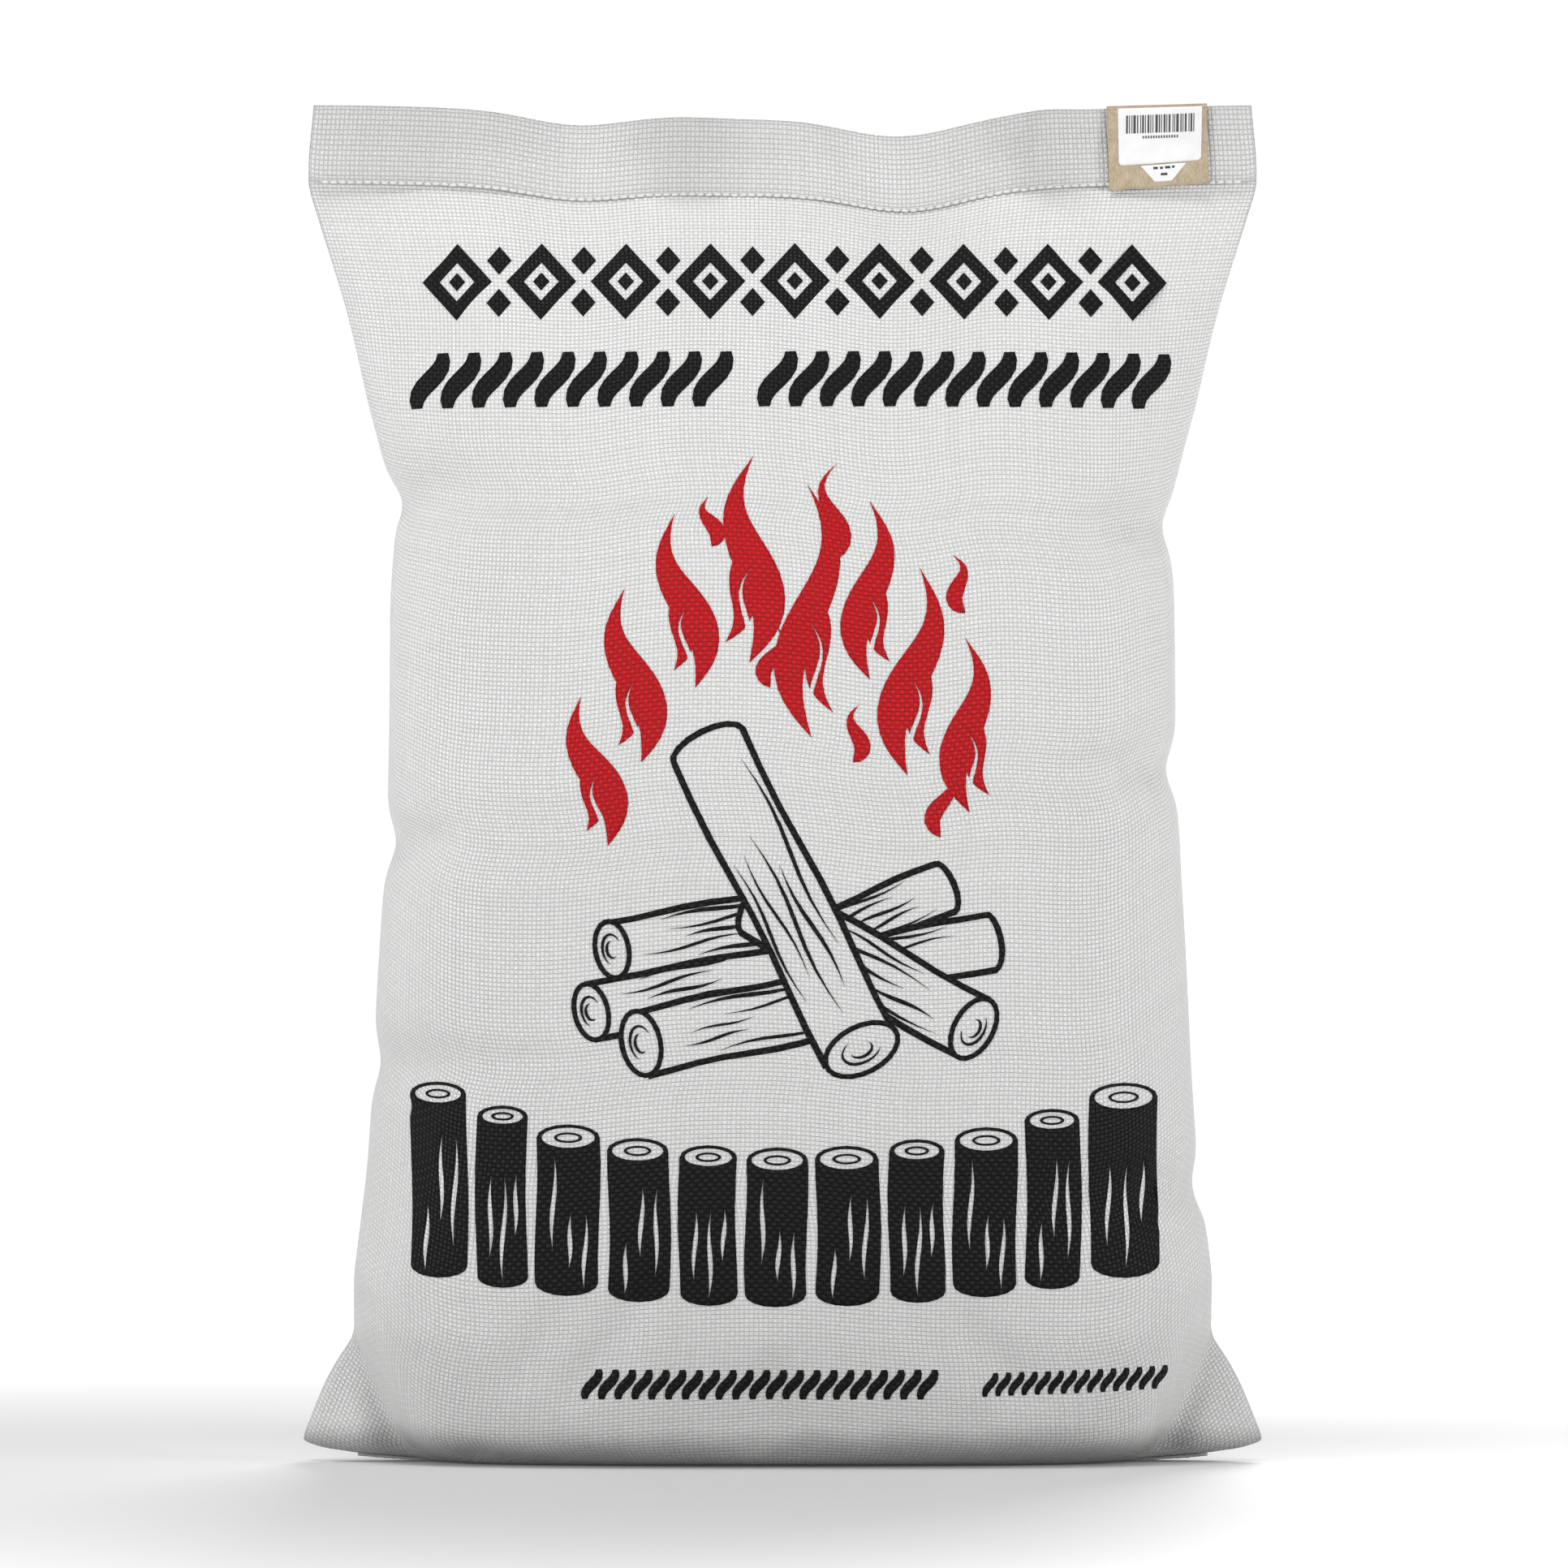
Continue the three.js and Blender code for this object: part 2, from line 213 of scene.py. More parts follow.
# %% Curves through the tables
def curve_through(rows):
    """A smooth curve through a short table, as a function of its first column."""
    at, value = (np.array(column, float) for column in zip(*rows))
    slopes = np.empty(len(at))
    for k in range(len(at)):
        before, after = max(0, k - 1), min(len(at) - 1, k + 1)
        slopes[k] = (value[after] - value[before]) / (at[after] - at[before])

    def read(x):
        x = np.clip(np.asarray(x, float), at[0], at[-1])
        i = np.clip(np.searchsorted(at, x, "right") - 1, 0, len(at) - 2)
        run = at[i + 1] - at[i]
        t = (x - at[i]) / run
        rise = value[i] * (2 * t**3 - 3 * t**2 + 1) + value[i + 1] * (3 * t**2 - 2 * t**3)
        return rise + run * (slopes[i] * (t**3 - 2 * t**2 + t) + slopes[i + 1] * (t**3 - t**2))

    return read


def bumps(x, rows):
    """A sum of smooth bumps: each row gives a place, a reach and a size."""
    return sum(size * np.exp(-(((x - at) / reach) ** 2)) for at, reach, size in rows)


outline, body_width, depth, roundness = (curve_through(t) for t in (OUTLINE, BODY, DEPTH, ROUND))
print("widest", round(2 * max(float(outline(z)) for z in range(80)), 1), "mm, near the ground")


# %% The sack's width and depth at any place
def half_width(side, z):
    """Half the width on one side, with its pinches."""
    pinch = sum(size * np.exp(-(((z - at) / reach) ** 2)) for s, at, size, reach in PINCHES if s == side)
    return outline(z) - pinch


def half_depth(share, width, z):
    """Half the sack's depth at a share of its half width, with the flat corners beside the foot."""
    body = min(float(body_width(z)), width) if z < BODY_TOP else width
    across = np.minimum(1, np.abs(share) * width / body)
    stuffed = depth(z) * np.maximum(0, 1 - across**FULLNESS) ** (1 / roundness(z))
    low = max(0, 1 - (z / FIN_TOP) ** 2)
    inwards = width * np.maximum(0, 1 - np.abs(share))
    fin = low * np.minimum(FIN_MAX, FIN_SLOPE * inwards**FIN_POWER)
    return np.maximum(EDGE, (stuffed**FIN_JOIN + fin**FIN_JOIN) ** (1 / FIN_JOIN))


print("half depth", round(float(half_depth(0, half_width(1, 300), 300)), 1), "mm at the middle")


# %% [markdown]
# ## The cloth, cut flat and wrapped round its load
# A real sack is cut flat and then filled, and its folds come from flat cloth that has to follow a full
# shape. So the cloth is made twice: as a flat tube, which gives every thread its true length, and
# wrapped on the filled shape, where the sides have more cloth than they need. Blender's Cloth then
# takes the flat tube as its rest shape, and the spare cloth buckles into folds.

# %% The wrapped start
FLAT_WIDTH = 466
FLAT_HEIGHT = 706
TIP_HEIGHT = 9  # how high the tips of the bottom corners stand
SEAM_HEIGHT = 3.4  # how high the foot seam is drawn in under the middle
ACROSS = 79  # points across each face
UP = 121  # points from the foot seam up to the hem


def even(points, count):
    """The same line again, with evenly spaced points."""
    along = np.concatenate([[0], np.cumsum(np.linalg.norm(np.diff(points, axis=0), axis=1))])
    at = np.linspace(0, along[-1], count)
    return np.stack([np.interp(at, along, points[:, k]) for k in range(3)], axis=1)


def dents(x, z):
    """How far the face is pushed in by the soft dents near its side edges."""
    total = 0
    for side, at, inset, across_reach, up_reach, size in DENTS:
        middle = side * (float(half_width(side, at)) - inset)
        total = total + size * np.exp(-(((x - middle) / across_reach) ** 2) - ((z - at) / up_reach) ** 2)
    return total


def section(z, facing):
    """Half of the sack's section at one height, from its left edge to its right edge."""
    share = -np.cos(np.linspace(0, math.pi, 400))
    left, right = float(half_width(-1, z)), float(half_width(1, z))
    deep = np.where(share < 0, half_depth(share, left, z), half_depth(share, right, z))
    deep = np.where(np.abs(share) > 1 - 1e-9, 0, deep)
    x = np.where(share < 0, share * left, share * right)
    deep = np.maximum(deep - dents(x * -facing, z) * np.minimum(1, deep / 20), np.minimum(deep, EDGE))
    near = max(0, 1 - (HEM_TOP - HEM_HEIGHT - z) / WAVE_FADE)
    fade = near * near * (3 - 2 * near)
    y = facing * deep + fade * bumps(x, SWINGS)
    return even(np.stack([x, y, z - fade * bumps(x, SAGS)], axis=1), ACROSS)


def panel(facing):
    """One face of the wrapped sack, in rows from the foot seam up to the hem's stitches."""
    heights = np.concatenate([np.linspace(0, 20, 16), np.linspace(24, HEM_TOP - HEM_HEIGHT, 150)])
    rings = np.array([section(z, facing) for z in heights])
    share = np.linspace(-1, 1, ACROSS)
    lift = TIP_HEIGHT * np.abs(share) ** 8
    columns = []
    for i, low in enumerate(lift):
        seam = np.array([share[i] * FLAT_WIDTH / 2, 0, SEAM_HEIGHT * (1 - share[i] ** 4) + low])
        foot = np.array([np.interp(low, heights, rings[:, i, k]) for k in range(3)])
        under = [seam + (foot - seam) * t for t in np.linspace(0, 1, 12)]
        columns.append(even(np.array(under + list(rings[heights > low + 1, i])), UP))
    return np.stack(columns, axis=1)


front, back = panel(-1), panel(1)
for i in (0, 5, 15, ACROSS // 2):
    length = np.linalg.norm(np.diff(front[:, i], axis=0), axis=1).sum()
    print("column", i, "of the front is wrapped over", round(float(length)), "mm of", FLAT_HEIGHT)

# %% The flat tube and the wrapped tube, as one mesh
COLUMNS = 2 * (ACROSS - 1)


def ring_of(front_row, back_row):
    """Once round the sack: across the front, then back across the back."""
    return np.concatenate([front_row, back_row[1:-1][::-1]])


def tube():
    """The cloth as a closed tube, with its faces, its wrapped places and its flat places."""
    wrapped = np.array([ring_of(f, b) for f, b in zip(front, back)]) * MM
    u = np.linspace(-0.5, 0.5, ACROSS) * FLAT_WIDTH
    flat = np.zeros_like(wrapped)
    flat[:, :, 0] = ring_of(u, u) * MM
    flat[:, :, 2] = (np.linspace(0, FLAT_HEIGHT, UP) * MM)[:, None]
    number = np.arange(UP * COLUMNS).reshape(UP, COLUMNS)
    for i in range(1, ACROSS - 1):
        number[0, COLUMNS - i] = number[0, i]
    faces = []
    for j in range(UP - 1):
        for i in range(COLUMNS):
            k = (i + 1) % COLUMNS
            faces.append((number[j, i], number[j, k], number[j + 1, k], number[j + 1, i]))
    for i in range(1, ACROSS):
        a, b = (COLUMNS - i) % COLUMNS, (COLUMNS - i + 1) % COLUMNS
        corners = [number[-1, i - 1], number[-1, i], number[-1, a], number[-1, b]]
        faces.append(tuple(dict.fromkeys(corners)))
    return wrapped.reshape(-1, 3), flat.reshape(-1, 3), faces, number


wrapped, flat, faces, number = tube()
used = np.unique(number)
order = {int(n): k for k, n in enumerate(used)}
number = np.vectorize(order.get)(number)
faces = [tuple(order[int(n)] for n in f) for f in faces]
wrapped, flat = wrapped[used], flat[used]
cloth_mesh = bpy.data.meshes.new("sack_cloth")
cloth_mesh.from_pydata(wrapped.tolist(), [], faces)
cloth_mesh.update()
sack = bpy.data.objects.new("sack_cloth", cloth_mesh)
bpy.context.collection.objects.link(sack)
print("cloth", len(cloth_mesh.vertices), "points,", len(cloth_mesh.polygons), "faces")

# %% Let the cloth find its folds
CONTACT = 1.5 * MM  # cloth lower than this rests on the ground and is held
REACH = 16 * MM  # no point moves further than this
FRAMES = 36
LOAD_FROM, LOAD_OVER = 8 * MM, 30 * MM  # the load presses only where the sack is deeper than this


def settle(obj, flat_places, held, full, frames):
    """Runs Cloth with the flat tube as its rest shape, and returns where its points end up."""
    obj.shape_key_add(name="wrapped")
    rest = obj.shape_key_add(name="flat")
    rest.data.foreach_set("co", flat_places.ravel())
    for name, weights in (("held", held), ("full", full)):
        group = obj.vertex_groups.new(name=name)
        for k, weight in enumerate(weights):
            group.add([k], float(weight), "REPLACE")
    cloth = obj.modifiers.new("cloth", "CLOTH")
    settings = cloth.settings
    settings.rest_shape_key = rest
    settings.quality = 6
    settings.mass = 0.2
    settings.tension_stiffness = 60
    settings.compression_stiffness = 60
    settings.shear_stiffness = 20
    settings.bending_stiffness = 2.0
    settings.tension_damping = 10
    settings.compression_damping = 10
    settings.shear_damping = 10
    settings.air_damping = 2
    settings.vertex_group_mass = "held"
    settings.use_pressure = True
    settings.uniform_pressure_force = 3.0
    settings.vertex_group_pressure = "full"
    settings.effector_weights.gravity = 0
    cloth.collision_settings.use_collision = False
    cloth.collision_settings.use_self_collision = False
    cloth.point_cache.frame_start = 1
    cloth.point_cache.frame_end = frames
    for f in range(1, frames + 1):
        bpy.context.scene.frame_set(f)
    shown = obj.evaluated_get(bpy.context.evaluated_depsgraph_get())
    ended = np.empty(len(shown.data.vertices) * 3)
    shown.data.vertices.foreach_get("co", ended)
    obj.modifiers.remove(cloth)
    obj.shape_key_clear()
    obj.vertex_groups.clear()
    bpy.context.scene.frame_set(1)
    return ended.reshape(-1, 3)


def capped(start, end, reach):
    """The end places, with no point further than reach from where it started, and none below ground."""
    moved = end - start
    far = np.linalg.norm(moved, axis=1)
    places = start + moved * np.minimum(1, reach / np.maximum(far, 1e-9))[:, None]
    places[:, 2] = np.maximum(places[:, 2], 0)
    return places


held = np.zeros(len(wrapped))
held[number[-1]] = 1
held[number[0]] = 1
held[wrapped[:, 2] < CONTACT] = 1
full = np.clip((np.abs(wrapped[:, 1]) - LOAD_FROM) / LOAD_OVER, 0, 1)
kept = capped(wrapped, settle(sack, flat, held, full, FRAMES), REACH)
moved = np.linalg.norm(kept - wrapped, axis=1) / MM
print("the cloth moved", np.percentile(moved, [50, 90, 100]).round(1), "mm")

# %% [markdown]
# ## The hem across the mouth
# The mouth is folded once to the front, so the band seen there is the back panel's outside, and its
# cut edge hangs just below the stitches. The band is more rows of the same mesh, so the cloth stays
# one piece: the rows go down behind the cut edge, round it, up the front of the band, over the fold
# and down the back.

# %% Rows of the hem
# Each row gives the front's rise and depth, then the back's, from the stitch line, in millimetres.
LIP = [(0.8, 1.7, 0.8, 1.9), (0.4, 2.3, 1.6, 1.8), (-0.2, 2.7, 2.4, 1.7), (-0.7, 3.0, 3.2, 1.6),
       (-0.8, 3.7, 4.0, 1.5), (-0.2, 4.0, 5.0, 1.5), (0.9, 4.0, 6.0, 1.4), (3.0, 3.8, 7.0, 1.4)]
BAND_ROWS = 11
RIPPLE = 1.1
FOLD = [(0.6, 1.9, 0.6, 1.2), (0.95, 1.5, 0.95, 0.9), (1.1, 0.8, 1.1, 0.3)]


def hem_line(x, facing, rise, thick):
    """A line along the hem at a rise above the stitches, in millimetres."""
    z = HEM_TOP - HEM_HEIGHT + rise
    ripple = np.array([noise.noise(Vector((v / 23, rise / 30, 5.3))) for v in x])
    y = bumps(x, SWINGS) + (bumps(x, LEANS) + LEAN) * rise + facing * thick + RIPPLE * ripple
    return np.stack([x, y, z - bumps(x, SAGS)], axis=1)


def hem_rings():
    """Closed rings of the hem, upwards from the stitches: the cut edge, the band and its fold."""
    share = np.linspace(-1, 1, ACROSS)
    rows = list(LIP)
    for k in range(1, BAND_ROWS + 1):
        front_rise = LIP[-1][0] + (HEM_HEIGHT - 4) * k / BAND_ROWS
        back_rise = LIP[-1][2] + (HEM_HEIGHT - 8) * k / BAND_ROWS
        rows.append((front_rise, 4.0 - 2.0 * min(1, k / 4), back_rise, LIP[-1][3]))
    for front_rise, front_thick, back_rise, back_thick in FOLD:
        rows.append((HEM_HEIGHT - 1 + front_rise, front_thick, HEM_HEIGHT - 1 + back_rise, back_thick))
    rings = []
    for front_rise, front_thick, back_rise, back_thick in rows:
        z = HEM_TOP - HEM_HEIGHT + np.clip(front_rise, 0, HEM_HEIGHT)
        left, right = float(half_width(-1, z)), float(half_width(1, z))
        x = np.where(share < 0, share * left, share * right)
        front_row = hem_line(x, -1, front_rise, front_thick)
        back_row = hem_line(x, 1, back_rise, back_thick)
        edge = np.abs(share) > 1 - 1e-9
        front_row[edge] = (front_row[edge] + back_row[edge]) / 2
        rings.append(ring_of(front_row, back_row) * MM)
    return np.array(rings)


# %% The tube and the hem, joined
ROW_CUT = 2.6 * MM  # the cloth between two rows of the hem, when flat


def add_hem(places, flat_places, faces, number):
    """The tube's mesh with its lid taken off and the hem's rings put on."""
    rings = hem_rings()
    base = len(places)
    open_faces = faces[:(UP - 1) * COLUMNS]
    all_places = np.concatenate([places, rings.reshape(-1, 3)])
    flat_rings = np.tile(flat_places[number[-1]], (len(rings), 1, 1))
    flat_rings[:, :, 2] += (np.arange(1, len(rings) + 1) * ROW_CUT)[:, None]
    all_flat = np.concatenate([flat_places, flat_rings.reshape(-1, 3)])
    hem_number = base + np.arange(len(rings) * COLUMNS).reshape(len(rings), COLUMNS)
    rows = np.concatenate([number[-1:], hem_number])
    for j in range(len(rows) - 1):
        for i in range(COLUMNS):
            k = (i + 1) % COLUMNS
            open_faces.append((rows[j, i], rows[j, k], rows[j + 1, k], rows[j + 1, i]))
    for i in range(1, ACROSS):
        a, b = (COLUMNS - i) % COLUMNS, (COLUMNS - i + 1) % COLUMNS
        corners = [rows[-1, i - 1], rows[-1, i], rows[-1, a], rows[-1, b]]
        open_faces.append(tuple(dict.fromkeys(int(c) for c in corners)))
    return all_places, all_flat, open_faces


places, flat_places, faces = add_hem(kept, flat, faces, number)
print("cloth with its hem", len(places), "points,", len(faces), "faces")

# %% The cloth as one closed mesh, with its flat places as a UV map
bpy.data.objects.remove(sack)
cloth_mesh = bpy.data.meshes.new("sack_cloth")
cloth_mesh.from_pydata(places.tolist(), [], [tuple(int(c) for c in f) for f in faces])
cloth_mesh.update()
weave_map = cloth_mesh.uv_layers.new(name="weave")
corner_vertex = np.empty(len(cloth_mesh.loops), int)
cloth_mesh.loops.foreach_get("vertex_index", corner_vertex)
weave_map.data.foreach_set("uv", flat_places[corner_vertex][:, [0, 2]].ravel())
cloth_mesh.shade_smooth()
sack = bpy.data.objects.new("sack_cloth", cloth_mesh)
bpy.context.collection.objects.link(sack)
smooth = sack.modifiers.new("smooth", "SUBSURF")
smooth.levels = smooth.render_levels = 1
volume = bmesh.new()
volume.from_mesh(cloth_mesh)
print("closed:", all(len(e.link_faces) == 2 for e in volume.edges), "volume",
      round(volume.calc_volume(signed=True) * 1000, 1), "litres")
volume.free()

# %% [markdown]
# ## Materials that follow the cloth
# The cloth is flat tape, about two and a quarter millimetres wide, woven one over, one under. Each
# crossing shows either the upright tape or the level one, in a chequer. The pattern is worked out from
# the flat places in the UV map, so it bends with every fold. Where a tape dives under its neighbour
# the surface drops, so height, gloss and a painted shade in the gaps all come from the same few sums.
# The upright tapes are painted darker than the level ones, a painted sheen.

# %% Small helpers for node materials
class Nodes:
    """A material's node tree, with a short way to add each kind of node that the finishes need."""

    def __init__(self, name):
        self.material = bpy.data.materials.new(name)
        self.material.use_nodes = True
        self.tree = self.material.node_tree
        self.shader = self.tree.nodes["Principled BSDF"]

    def add(self, kind, inputs=(), **settings):
        node = self.tree.nodes.new(kind)
        for key, value in settings.items():
            setattr(node, key, value)
        for socket, value in dict(inputs).items():
            self.put(node.inputs[socket], value)
        return node

    def put(self, socket, value):
        if isinstance(value, bpy.types.NodeSocket):
            self.tree.links.new(value, socket)
        else:
            socket.default_value = value

    def math(self, operation, *values):
        node = self.add("ShaderNodeMath", enumerate(values), operation=operation)
        return node.outputs[0]

    def ramp(self, value, low, high, to_low, to_high, smooth=True):
        kind = "SMOOTHSTEP" if smooth else "LINEAR"
        node = self.add("ShaderNodeMapRange", interpolation_type=kind)
        for socket, given in zip(range(5), (value, low, high, to_low, to_high)):
            self.put(node.inputs[socket], given)
        return node.outputs[0]

    def mix(self, share, first, second, blend="MIX"):
        node = self.add("ShaderNodeMix", data_type="RGBA", blend_type=blend)
        self.put(node.inputs[0], share)
        self.put(node.inputs[6], first)
        self.put(node.inputs[7], second)
        return node.outputs[2]

    def noise(self, where, scale, detail=2, rough=0.5):
        node = self.add("ShaderNodeTexNoise", {"Vector": where, "Scale": scale, "Detail": detail,
                                               "Roughness": rough})
        return node.outputs["Fac"]

    def bump(self, height, distance, strength=1.0, below=None):
        node = self.add("ShaderNodeBump", {"Height": height, "Distance": distance, "Strength": strength})
        if below is not None:
            self.put(node.inputs["Normal"], below)
        return node.outputs["Normal"]

    def finish(self, color, roughness, normal, **constants):
        self.put(self.shader.inputs["Base Color"], color)
        self.put(self.shader.inputs["Roughness"], roughness)
        self.put(self.shader.inputs["Normal"], normal)
        for socket, value in constants.items():
            self.shader.inputs[socket.replace("_", " ")].default_value = value
        return self.material



# %% The weave
TAPE = 2.15 * MM
# How much of its tone the cloth keeps in the painted shade at its foot, where it turns under towards
# the ground, and in the painted shade on the folded hem, whose three layers let no light through.
FOOT_SHADE, HEM_SHADE = 0.52, 0.88
# The height where the painted shade at the foot ends.
FOOT_SHADE_TOP = 16 * MM


def weave(nodes):
    """The height of the woven tapes from 0 to 1, which way the upper tape runs, and a random tone."""
    where = nodes.add("ShaderNodeUVMap", uv_map="weave").outputs["UV"]
    split = nodes.add("ShaderNodeSeparateXYZ", {"Vector": where})
    a = nodes.math("DIVIDE", split.outputs[0], TAPE)
    b = nodes.math("DIVIDE", split.outputs[1], TAPE)
    cell_a, cell_b = nodes.math("FLOOR", a), nodes.math("FLOOR", b)
    in_a = nodes.math("SUBTRACT", nodes.math("FRACT", a), 0.5)
    in_b = nodes.math("SUBTRACT", nodes.math("FRACT", b), 0.5)
    turn = nodes.math("FLOORED_MODULO", nodes.math("ADD", cell_a, cell_b), 2.0)
    level = nodes.add("ShaderNodeMix", {0: turn, 2: in_b, 3: in_a}).outputs[0]
    across = nodes.add("ShaderNodeMix", {0: turn, 2: in_a, 3: in_b}).outputs[0]
    arch = nodes.math("COSINE", nodes.math("MULTIPLY", level, math.pi * 0.94))
    edge = nodes.ramp(nodes.math("ABSOLUTE", across), 0.3, 0.5, 1.0, 0.0)
    height = nodes.math("MULTIPLY", nodes.math("POWER", arch, 0.7), edge)
    tape = nodes.add("ShaderNodeMix", {0: turn, 2: cell_a, 3: cell_b}).outputs[0]
    seed = nodes.math("MULTIPLY_ADD", turn, 517.0, tape)
    tone = nodes.add("ShaderNodeTexWhiteNoise", {"W": seed}, noise_dimensions="1D").outputs["Value"]
    return height, turn, tone


# %% Woven finishes
def woven(name, color, gap_shade, upright_painted_sheen, depth, gloss, specular):
    """Woven tape of one colour. Its third argument sets the painted shade in the gaps, its fourth a
    painted sheen that darkens the tapes that run up the sack.
    """
    nodes = Nodes(name)
    height, turn, tone = weave(nodes)
    place = nodes.add("ShaderNodeTexCoord").outputs["Object"]
    # Painted shade: the gaps where a tape dives under its neighbour are painted darker.
    gap_shade_color = tuple(c * gap_shade for c in color[:3]) + (1,)
    shade = nodes.mix(height, gap_shade_color, color)
    tapes = nodes.ramp(tone, 0, 1, 0.965, 1.02, smooth=False)
    soil = nodes.ramp(nodes.noise(place, 7.0, 4), 0.35, 0.75, 1.0, 0.975)
    # Painted sheen: the tapes that run up the sack are painted darker than the level ones, which catch
    # more light.
    painted_sheen = nodes.ramp(turn, 0, 1, upright_painted_sheen, 1.0, smooth=False)
    # Painted shade at the foot, where the cloth turns under towards the floor: darker below 16 mm, with a
    # ragged edge.
    foot = nodes.add("ShaderNodeSeparateXYZ", {"Vector": place}).outputs["Z"]
    ragged = nodes.math("MULTIPLY_ADD", nodes.noise(place, 22.0, 3), -0.012, foot)
    foot_shade = nodes.ramp(ragged, 0.0, FOOT_SHADE_TOP, FOOT_SHADE, 1.0)
    # Painted shade on the folded hem band: it is painted darker than the cloth below it.
    cut = nodes.add("ShaderNodeUVMap", uv_map="weave").outputs["UV"]
    along = nodes.add("ShaderNodeSeparateXYZ", {"Vector": cut}).outputs["Y"]
    hem_shade = nodes.ramp(along, (FLAT_HEIGHT + 1) * MM, (FLAT_HEIGHT + 5) * MM, 1.0, HEM_SHADE)
    # The random tone of the tapes and the soil, times the painted sheen and the painted shades at the foot
    # and on the hem.
    tone_and_painted_shade = nodes.math("MULTIPLY", nodes.math("MULTIPLY", tapes, soil), nodes.math("MULTIPLY", painted_sheen, foot_shade))
    tone_and_painted_shade = nodes.math("MULTIPLY", tone_and_painted_shade, hem_shade)
    tint = nodes.add("ShaderNodeCombineColor", {0: tone_and_painted_shade, 1: tone_and_painted_shade, 2: tone_and_painted_shade}).outputs[0]
    shade = nodes.mix(1.0, shade, tint, "MULTIPLY")
    stretched = nodes.add("ShaderNodeMapping", {"Vector": place, "Scale": (1, 1, 1.6)}).outputs[0]
    bulge = nodes.bump(nodes.noise(stretched, 38.0, 3, 0.55), 0.0022, 0.35)
    proud = nodes.math("MULTIPLY", height, nodes.ramp(turn, 0, 1, 0.7, 1.0, smooth=False))
    normal = nodes.bump(proud, depth, 1.0, bulge)
    rough = nodes.ramp(height, 0, 1, gloss + 0.18, gloss)
    return nodes.finish(shade, rough, normal, Specular_IOR_Level=specular)


white_weave = woven("white_weave", (0.7, 0.7, 0.696, 1), 0.76, 0.94, 0.0005, 0.45, 0.35)
black_ink = woven("black_ink", (0.016, 0.016, 0.0165, 1), 0.15, 0.4, 0.0005, 0.42, 0.11)
red_ink = woven("red_ink", (0.56, 0.009, 0.014, 1), 0.55, 0.78, 0.0005, 0.42, 0.12)
sack.data.materials.append(white_weave)
print("materials", [m.name for m in bpy.data.materials])

# %% [markdown]
# ## Printing on a folded surface
# The print is drawn flat, as a designer would draw it, in layers from the back to the front: each
# shape either lays ink or clears it. A constrained triangulation cuts all the outlines into one sheet,
# and every triangle takes the ink of the last shape over it. A fine grid of extra points lets the sheet
# bend. Then each point is carried straight back onto the cloth, a hair above it.

# %% Flat shapes, in millimetres across and up
INK_LIFT = 0.24 * MM
INK_THICK = 0.1 * MM
GRID = 3.2
# The drawings are sized on the plane of the sack's middle, and the face is nearer the eye.
NEARER = 0.984
BLACK, RED, BARE = "black", "red", None


def ribbon(points, widths):
    """An outline that follows a line with a width at each point."""
    points = np.asarray(points, float)
    along = np.gradient(points, axis=0)
    along /= np.maximum(np.linalg.norm(along, axis=1), 1e-9)[:, None]
    side = np.stack([-along[:, 1], along[:, 0]], axis=1) * np.asarray(widths, float)[:, None] / 2
    return np.concatenate([points + side, (points - side)[::-1]])


def swept(start, end, sway, width, lean=0.6, steps=15):
    """A pointed, swaying tongue from start to end. lean moves its belly towards the start."""
    start, end = np.array(start, float), np.array(end, float)
    t = np.linspace(0, 1, steps)[:, None]
    run = end - start
    across = np.array([-run[1], run[0]])
    line = start + run * t + across * sway * np.sin(2 * math.pi * t)
    belly = np.sin(math.pi * t[:, 0] ** lean) ** 1.3
    return ribbon(line, width * belly + 0.05)


def flame(foot, tip, sway, width):
    """A tongue of flame with a shorter second tail beside its foot."""
    foot, tip = np.array(foot, float), np.array(tip, float)
    rise = tip - foot
    lean = 1 if sway > 0 else -1
    tail = foot + np.array([lean * 0.6 * width, 0.1 * rise[1]])
    joint = foot + rise * 0.6 + np.array([-lean * 0.1 * width, 0])
    slit = (foot + tail) / 2 + np.array([0, -0.02 * rise[1]])
    return [(swept(tail, joint, sway, 0.55 * width, 0.85), RED),
            (swept(foot, tip, sway, width, 0.8, 21), RED),
            (swept(slit, foot + rise * 0.46, 0.9 * sway, 0.13 * width, 0.8), BARE)]


def ellipse(center, radii, turn, steps=22):
    """An ellipse turned by an angle."""
    t = np.linspace(0, 2 * math.pi, steps, endpoint=False)
    c, s = math.cos(turn), math.sin(turn)
    x, y = radii[0] * np.cos(t), radii[1] * np.sin(t)
    return np.array(center) + np.stack([x * c - y * s, x * s + y * c], axis=1)


# %% A drawn log
OUTLINE_WIDTH = 3.1


